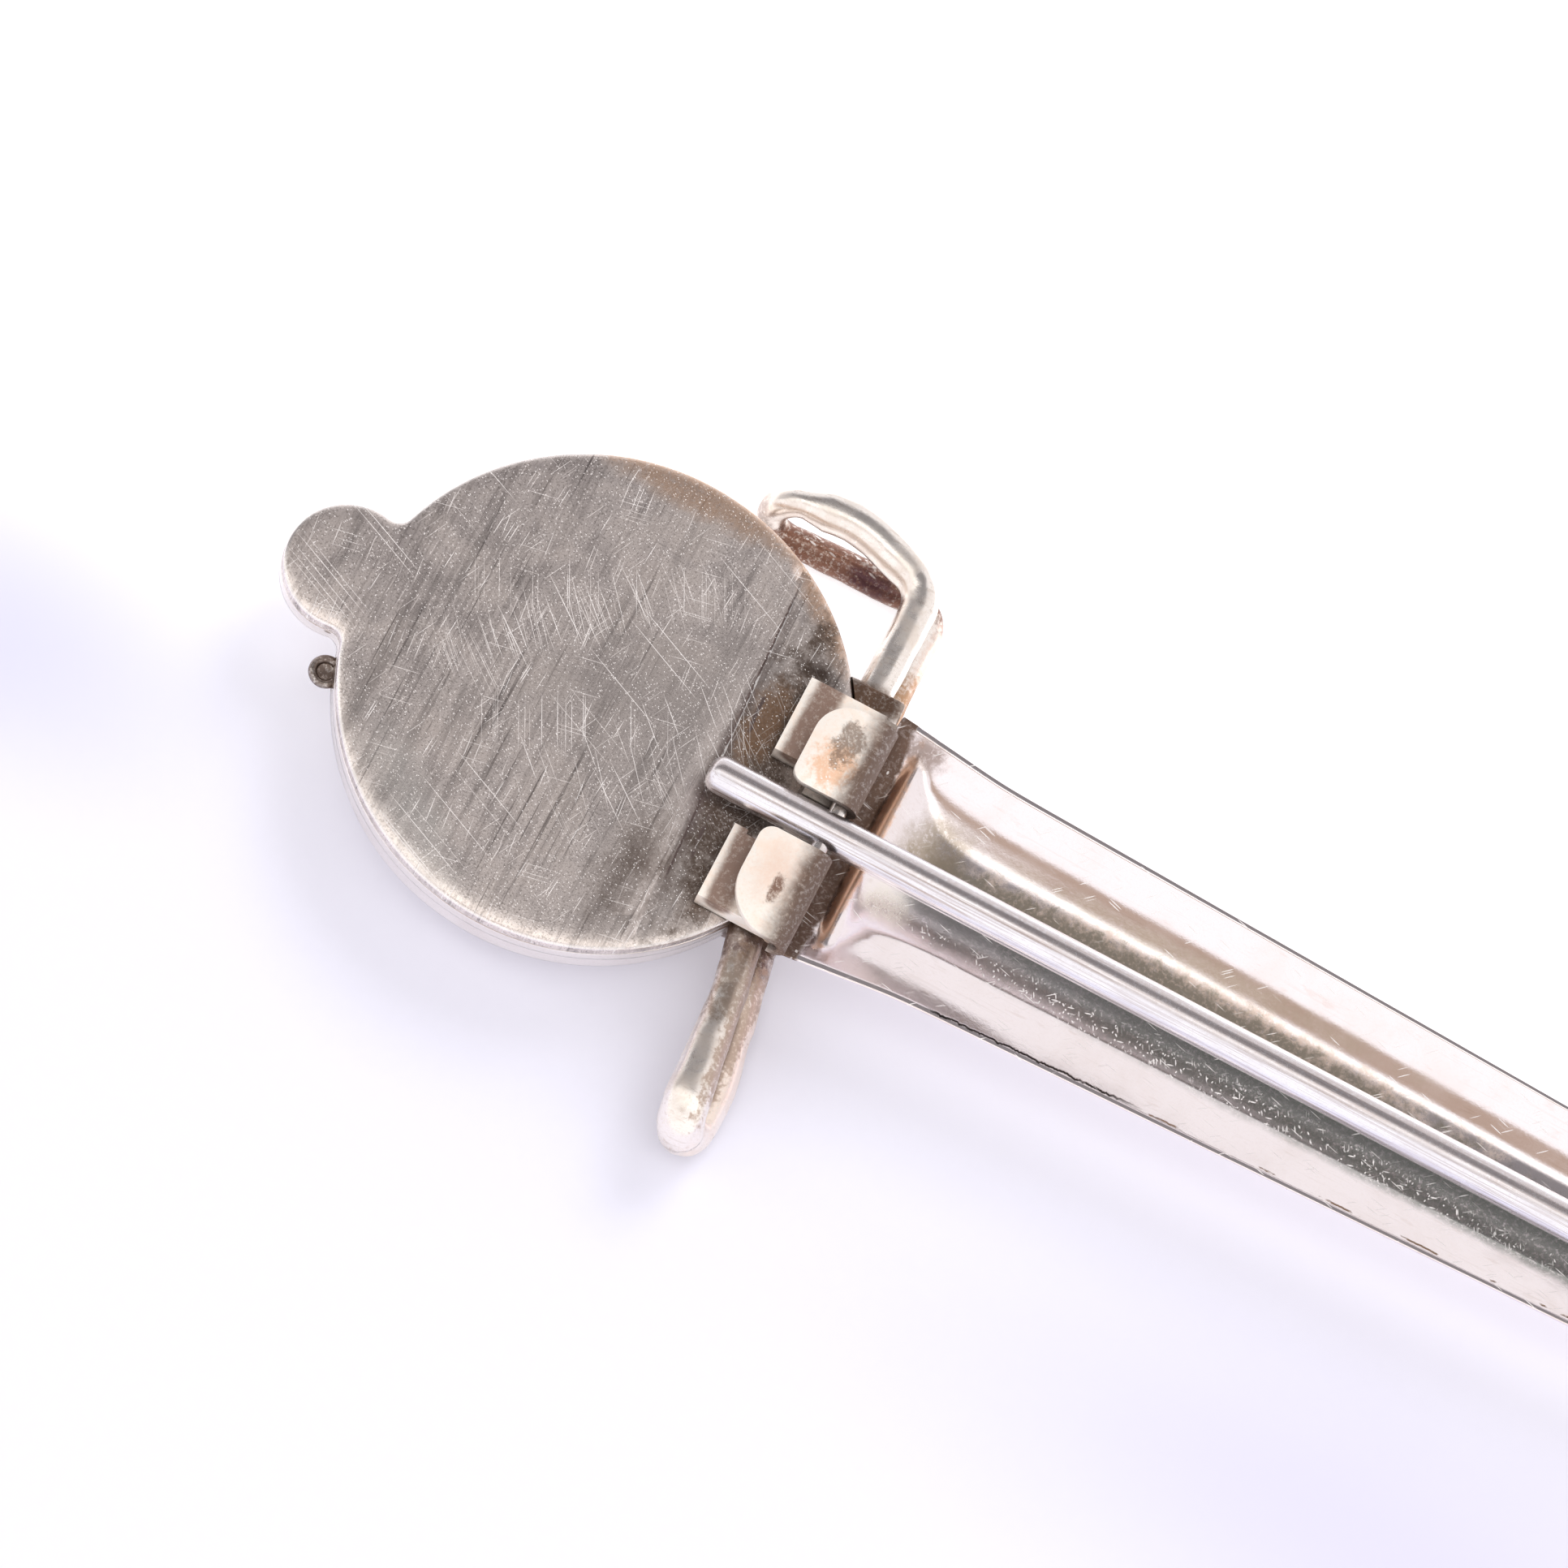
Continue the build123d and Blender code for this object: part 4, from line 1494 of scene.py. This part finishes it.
GUARD_FINISH = Silver(
    "fire_stained_cast_silver", (0.97, 0.91, 0.85), (0.74, 0.63, 0.53), 0.27, cloud_size=1.0,
    cloud_share=0.5, grain_share=0.25, pit_depth=0.006, pit_size=0.3,
    streaks=(Streaks(0.0, (1.4, 0.14, 0.14), 0.56, (0.60, 0.50, 0.42), 0.4),),
    stains_and_painted_light=(
        # Lower strand and crown of the right loop: brown tarnish, with painted shade under the
        # upper strand.
        StainAndPaintedLight((4.9, 9.5, 0.7), (6.4, 1.5, 0.9), (0.24, 0.13, 0.095), 0.35, ragged=0.9,
              grain=1.8, mottle=0.6, soft=0.5),
        StainAndPaintedLight((1.9, 9.6, 1.6), (0.8, 0.9, 1.0), (0.30, 0.21, 0.18), 0.35, grain=2.0,
              share=0.7),
        StainAndPaintedLight((6.3, 9.3, 0.9), (1.6, 0.5, 0.6), (0.10, 0.05, 0.055), 0.35, grain=2.6),
        # Left loop: root, lower strand and upper strand.
        StainAndPaintedLight((8.3, -4.9, 2.2), (1.7, 1.5, 2.0), (0.17, 0.11, 0.10), 0.45, grain=1.6),
        StainAndPaintedLight((9.7, -8.2, 1.4), (0.70, 4.4, 1.6), (0.97, 0.82, 0.71), 0.25, grain=1.2,
              share=0.8),
        StainAndPaintedLight((9.3, -8.0, 2.2), (0.55, 3.6, 1.8), (0.46, 0.33, 0.25), 0.35, ragged=1.4,
              grain=2.6, share=0.8, soft=0.4),
        StainAndPaintedLight((8.8, -6.4, 2.8), (1.2, 1.9, 1.2), (0.42, 0.32, 0.25), 0.35, ragged=1.2,
              grain=2.4, share=0.85, soft=0.5),
        # Root of the right loop and the strand that leaves it.
        StainAndPaintedLight((8.2, 4.6, 3.3), (1.9, 0.8, 1.3), (0.16, 0.10, 0.07), 0.5, ragged=0.5,
              grain=1.6, mottle=0.3),
        StainAndPaintedLight((9.4, 6.9, 0.9), (0.7, 3.0, 1.2), (0.84, 0.64, 0.54), 0.35, ragged=0.9,
              grain=2.6, share=0.85),
        StainAndPaintedLight((9.2, 5.7, 1.2), (0.9, 1.3, 1.4), (0.50, 0.31, 0.19), 0.4, ragged=1.1,
              grain=3.0)),
    # Painted highlights on the lower strand.
    scratches_and_glints=(ScratchesAndGlints(-15.0, 0.35, 0.05, 0.40, 0.9, LOW_STRAND),
               ScratchesAndGlints(10.0, 0.15, 0.05, 0.35, 0.9, LOW_STRAND)),
    corner_tarnish_and_shade=CornerTarnishAndShade(BROWN, 1.0, 0.66, 0.25, 0.95))

BLADE_FINISH = Silver(
    "blade_silver", (0.95, 0.88, 0.88), (0.84, 0.74, 0.70), 0.12, cloud_size=2.0,
    cloud_share=0.35, grain_share=0.15, pit_depth=0.003, pit_size=0.3,
    streaks=(Streaks(-1.0, (5.0, 0.12, 0.12), 0.58, (0.70, 0.60, 0.56), 0.18),
             Streaks(-1.0, (1.2, 0.35, 0.35), 0.60, (0.70, 0.58, 0.52), 0.25)),
    stains_and_painted_light=(
        # Grey base of the trough beside the stem, painted dark as painted reflection of the dark
        # overhead on its dull metal.
        StainAndPaintedLight((38.0, -0.9, 2.4), (33.0, 1.5, 0.32), (0.27, 0.29, 0.26), 0.26, ragged=0.25,
              grain=0.9, share=0.9),
        # Matt and brown bands on the trough's far side: tarnish, with painted reflections of the
        # curved wall in them.
        StainAndPaintedLight((22.0, 0.95, 2.4), (13.0, 0.85, 0.4), (0.84, 0.66, 0.55), 0.45, ragged=0.7,
              grain=0.9, share=0.9),
        StainAndPaintedLight((20.0, 0.75, 2.4), (14.0, 0.75, 0.4), (0.36, 0.32, 0.25), 0.3, ragged=1.2,
              grain=1.7, share=0.85, soft=0.6),
        StainAndPaintedLight((16.0, 0.45, 2.4), (8.0, 0.35, 0.4), (0.62, 0.38, 0.22), 0.3, ragged=1.2,
              grain=1.5, share=0.7, soft=0.6),
        StainAndPaintedLight((12.4, 1.2, 2.6), (1.6, 1.5, 0.5), (0.44, 0.36, 0.27), 0.3, grain=1.0,
              share=0.8),
        StainAndPaintedLight((22.0, 2.0, 2.75), (10.0, 0.45, 0.5), (0.66, 0.58, 0.46), 0.2, grain=0.8,
              share=0.6),
        # Bright, copper and dark patches on the end wall, and in the cavity behind it dark
        # tarnish with painted shade of the deep gap.
        StainAndPaintedLight((11.7, -1.3, 2.6), (1.3, 0.8, 0.6), (1.0, 0.95, 0.86), 0.3, grain=1.2,
              share=0.9),
        StainAndPaintedLight((10.30, -0.1, 3.0), (0.34, 4.3, 0.9), (0.92, 0.62, 0.46), 0.4, grain=1.6,
              soft=0.4, mottle=0.3),
        StainAndPaintedLight((9.6, -0.1, 2.6), (0.50, 9.0, 1.4), (0.20, 0.135, 0.105), 0.5, grain=1.2,
              soft=0.3, mottle=0.22),
        StainAndPaintedLight((10.5, 3.9, 3.2), (1.0, 0.6, 0.8), (0.26, 0.17, 0.13), 0.4, grain=2.0,
              share=0.7)),
    cracks_and_highlights=(CrackOrPaintedHighlight((14.3, -4.15, 3.2), 2.7, 8.3, 0.075, 0.10, (0.05, 0.04, 0.035), 0.30),
            CrackOrPaintedHighlight((22.0, -3.80, 3.2), 2.1, 40.0, 0.05, 0.06, (0.30, 0.19, 0.12), 0.50)),
    # Bright scratched lines on the near side of the trough, painted as their glint, and painted
    # glints in the cavity.
    scratches_and_glints=(ScratchesAndGlints(15.0, 0.30, 0.030, 0.26, 1.0, TROUGH_NEAR),
               ScratchesAndGlints(-40.0, 0.16, 0.034, 0.30, 1.0, TROUGH_NEAR),
               ScratchesAndGlints(80.0, 0.12, 0.030, 0.26, 1.0, TROUGH_NEAR),
               ScratchesAndGlints(-62.0, 0.28, 0.024, 0.22, 1.0, TROUGH_NEAR),
               ScratchesAndGlints(-28.0, 0.08, 0.040, 0.30, 1.0, TROUGH_NEAR),
               ScratchesAndGlints(88.0, 0.16, 0.05, 0.22, 1.0, CAVITY_GLINTS),
               ScratchesAndGlints(-15.0, 0.6, 0.02, 0.10, 0.8),
               ScratchesAndGlints(40.0, 0.5, 0.02, 0.10, 0.8)),
    corner_tarnish_and_shade=CornerTarnishAndShade(BLACK, 1.0, 0.52, 0.18, 0.9))

STRIP_FINISH = Silver(
    "warm_strip_silver", (1.0, 0.94, 0.86), (0.95, 0.72, 0.56), 0.40, cloud_size=0.8,
    cloud_share=0.45, grain_size=0.10, grain_share=0.25, pit_depth=0.010, pit_size=0.22,
    metal=0.25, edge=1.0,
    stains_and_painted_light=(
        # Brown tarnish and painted shade on the shelf under the fold.
        StainAndPaintedLight((6.75, -0.4, 4.40), (0.62, 12.0, 0.6), (0.21, 0.12, 0.085), 0.4, ragged=0.3,
              grain=1.0, share=0.92, soft=0.5, mottle=0.25),
        # Copper and dark spots of the right tab.
        StainAndPaintedLight((8.0, 1.2, 5.45), (0.9, 1.0, 0.5), (0.88, 0.52, 0.31), 0.4, ragged=1.2,
              grain=3.0, share=0.8),
        StainAndPaintedLight((8.1, 2.1, 5.45), (0.55, 0.9, 0.5), (0.20, 0.13, 0.09), 0.5, ragged=1.3,
              grain=1.5, share=0.8, soft=0.5),
        # Dark tarnish and painted shade on the fold's side towards the blade.
        StainAndPaintedLight((9.40, -0.9, 5.0), (1.15, 18.0, 1.6), (0.10, 0.05, 0.03), 0.40, ragged=0.35,
              grain=1.0, share=0.95, soft=0.7, mottle=0.2),
        # Warm cloud and dark spot of the left tab.
        StainAndPaintedLight((7.9, -3.0, 5.45), (1.0, 1.7, 0.5), (0.88, 0.64, 0.51), 0.4, ragged=0.6,
              grain=1.2, share=0.7, soft=1.2, mottle=0.3),
        StainAndPaintedLight((8.2, -3.6, 5.45), (0.25, 0.6, 0.5), (0.24, 0.14, 0.10), 0.4, ragged=1.2,
              grain=3.0)),
    # Painted glints on the right tab.
    scratches_and_glints=(ScratchesAndGlints(20.0, 0.10, 0.03, 0.30, 0.9, TAB_GLINTS),
               ScratchesAndGlints(-50.0, 0.12, 0.03, 0.30, 0.9, TAB_GLINTS)),
    corner_tarnish_and_shade=CornerTarnishAndShade(BLACK, 0.8, 0.72, 0.32, 0.95))

STEM_FINISH = Silver(
    "drawn_wire_silver", (0.91, 0.90, 0.94), (0.68, 0.63, 0.64), 0.27, cloud_share=0.25,
    grain_share=0.25, pit_depth=0.002,
    streaks=(Streaks(0.0, (4.0, 0.05, 0.05), 0.50, (0.56, 0.50, 0.50), 0.6),
             Streaks(0.0, (7.0, 0.10, 0.10), 0.58, (0.42, 0.31, 0.26), 0.6)),
    stains_and_painted_light=(StainAndPaintedLight((30.0, -0.66, 5.45), (60.0, 0.34, 0.5), (0.62, 0.54, 0.52), 0.25,
                  ragged=0.4, grain=0.6, share=0.7),),
    corner_tarnish_and_shade=CornerTarnishAndShade(BROWN, 0.6, 0.45, 0.15, 0.7))

FITTING_FINISH = Silver(
    "fitting_silver", (0.86, 0.81, 0.78), (0.66, 0.58, 0.53), 0.18, edge=0.5,
    corner_tarnish_and_shade=CornerTarnishAndShade(BROWN, 0.8, 0.62, 0.25, 0.8))


# The studio


@dataclass(frozen=True)
class Panel:
    """Part of the tent as the silver mirrors it: its angles from overhead and its colour."""

    across: float
    across_half: float
    along: float
    along_half: float
    soft: float
    colour: Colour

    def mask(self, nodes: Nodes, across: Socket, along: Socket) -> Socket:
        """1 on the panel and 0 off it."""
        return nodes.times(self.window(nodes, across, self.across, self.across_half),
                           self.window(nodes, along, self.along, self.along_half))

    def window(self, nodes: Nodes, angle: Socket, middle: float, half: float) -> Socket:
        """1 within half of the middle angle, fading to 0 outside."""
        off = nodes.maths("ABSOLUTE", nodes.maths("SUBTRACT", angle, middle))
        return nodes.span(off, half + self.soft / 2, half - self.soft / 2)


@dataclass(frozen=True)
class Lamp:
    """Square soft light that faces the pin, its place and size in metres."""

    name: str
    place: Place
    size: float
    power: float
    tint: Colour

    def hang(self) -> None:
        """Adds the light and keeps it out of the picture and the silver."""
        lamp = bpy.data.lights.new(self.name, "AREA")
        lamp.size = self.size
        lamp.energy = self.power
        lamp.color = self.tint
        obj = bpy.data.objects.new(self.name, lamp)
        bpy.context.scene.collection.objects.link(obj)
        obj.location = self.place
        facing = at(10, 0, 0) - Vector(self.place)
        obj.rotation_euler = facing.to_track_quat("-Z", "Y").to_euler()
        obj.visible_camera = False
        obj.visible_glossy = False


@dataclass
class Studio:
    """Pale floor, soft light all round and the camera."""

    target: Place = (6.835, 0.449, 3.6)
    elevation: float = 69.6
    roll: float = 27.8
    width: float = 52.2
    distance: float = 0.6
    sensor: float = 36.0
    floor_size: float = 4.0
    paper: Colour = (0.82, 0.82, 0.925)
    paper_light: Colour = (0.84, 0.84, 0.945)
    # Paper colour far off, paler as painted light.
    paper_far_painted_light: Colour = (0.93, 0.93, 0.94)
    # Painted light: the floor glows, more so far off.
    glow: Colour = (0.97, 0.97, 1.0)
    glow_near: float = 0.05
    glow_far: float = 0.75
    # Painted shadows of the pin on the floor.
    painted_shadows: tuple[StainAndPaintedLight, ...] = (
        StainAndPaintedLight((-19.0, -4.0, 0.0), (11.0, 9.0, 5.0), (0.52, 0.52, 0.72), ragged=0.1, grain=0.05,
              share=0.75, soft=1.1, mottle=0.0),
        StainAndPaintedLight((36.0, -12.0, 0.0), (22.0, 9.0, 5.0), (0.64, 0.62, 0.78), ragged=0.1, grain=0.05,
              share=0.6, soft=1.1, mottle=0.0))
    tent: float = 1.0
    tent_hilt: Colour = (0.95, 0.93, 0.95)
    tent_tip: Colour = (0.97, 0.94, 0.95)
    panels: tuple[Panel, ...] = (
        Panel(-62.0, 36.0, 0.0, 90.0, 12.0, (1.15, 1.12, 1.14)),
        Panel(28.0, 19.0, -32.0, 44.0, 8.0, (0.25, 0.24, 0.25)),
        Panel(-20.0, 5.5, 0.0, 9.0, 5.0, (0.50, 0.38, 0.31)),
        Panel(-3.0, 7.5, 0.0, 90.0, 4.0, (1.55, 1.52, 1.48)))
    lamps: tuple[Lamp, ...] = (
        Lamp("key", (0.15, 0.9, 0.9), 0.6, 4.8, (1.0, 0.98, 0.97)),
        Lamp("fill", (-0.2, -0.7, 0.8), 0.6, 0.6, (1.0, 0.97, 1.0)))

    def floor(self) -> None:
        """Pale matt floor with a faint paper grain, painted shade near the hilt, and paler with a
        painted glow far off.
        """
        bpy.ops.object.select_all(action="DESELECT")
        bpy.ops.mesh.primitive_plane_add(size=self.floor_size, location=(0, 0, -0.01 * MM))
        obj = settle("floor")
        bench = Bench("pale_paper")
        paper = bench.mix(bench.noise(bench.turned(), 2.0), self.paper, self.paper_light)
        # Painted shadows near the pin.
        for shade in self.painted_shadows:
            paper = bench.mix(shade.mask(bench), paper, shade.colour)
        far = bench.axis(bench.turned(), 1)
        # Painted light: the paper turns paler and glows more far off.
        looks = {"Base Color": bench.mix(bench.span(far, -14.0, 16.0), paper, self.paper_far_painted_light),
                 "Emission Color": self.glow,
                 "Emission Strength": bench.span(far, -9.0, 14.0, self.glow_near, self.glow_far),
                 "Roughness": 0.9, "Specular IOR Level": 0.2}
        for key, value in looks.items():
            bench.feed(bench.shader.inputs[key], value)
        obj.data.materials.append(bench.material)

    def sky(self) -> None:
        """White tent whose panels darken or brighten it, as they show in the silver."""
        world = bpy.data.worlds.new("white_tent")
        bpy.context.scene.world = world
        world.use_nodes = True
        nodes = Nodes(world.node_tree)
        place = nodes.add("TexCoord").outputs["Generated"]
        x, y, z = (nodes.axis(place, index) for index in range(3))
        degree = 180 / math.pi
        across = nodes.times(nodes.maths("ARCTAN2", y, z), degree)
        along = nodes.times(nodes.maths("ARCSINE", x), degree)
        colour = nodes.mix(nodes.span(x, -0.9, 0.9), self.tent_hilt, self.tent_tip)
        for panel in self.panels:
            colour = nodes.mix(panel.mask(nodes, across, along), colour, panel.colour)
        back = world.node_tree.nodes["Background"]
        nodes.feed(back.inputs["Color"], colour)
        nodes.feed(back.inputs["Strength"], self.tent)

    def camera(self) -> None:
        """Long lens at the photograph's angle, rolled as it was held."""
        lens = bpy.data.cameras.new("camera")
        lens.sensor_width = self.sensor
        lens.lens = self.sensor * self.distance / (self.width * MM)
        lens.clip_start = 0.01
        lens.clip_end = 20.0
        obj = bpy.data.objects.new("camera", lens)
        bpy.context.scene.collection.objects.link(obj)
        tilt = math.radians(self.elevation)
        back = Vector((0.0, -math.cos(tilt), math.sin(tilt)))
        level = Vector((1.0, 0.0, 0.0))
        upright = back.cross(level)
        turn = math.radians(self.roll)
        right = level * math.cos(turn) + upright * math.sin(turn)
        up = back.cross(right)
        pose = Matrix((right, up, back)).transposed().to_4x4()
        pose.translation = at(*self.target) + back * self.distance
        obj.matrix_world = pose
        bpy.context.scene.camera = obj

    def build(self) -> None:
        """Sets up floor, light and camera."""
        self.floor()
        self.sky()
        for lamp in self.lamps:
            lamp.hang()
        self.camera()
        bpy.context.scene.view_settings.view_transform = "Standard"


def main() -> None:
    """Builds the pin's sub-assemblies in order, then the studio."""
    logging.basicConfig(level=logging.INFO, format="%(message)s")
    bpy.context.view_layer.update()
    for part in (Hilt(), Guard(), Blade(), Hinge(), Stem(), Catch(), Studio()):
        part.build()


if __name__ == "__main__":
    main()
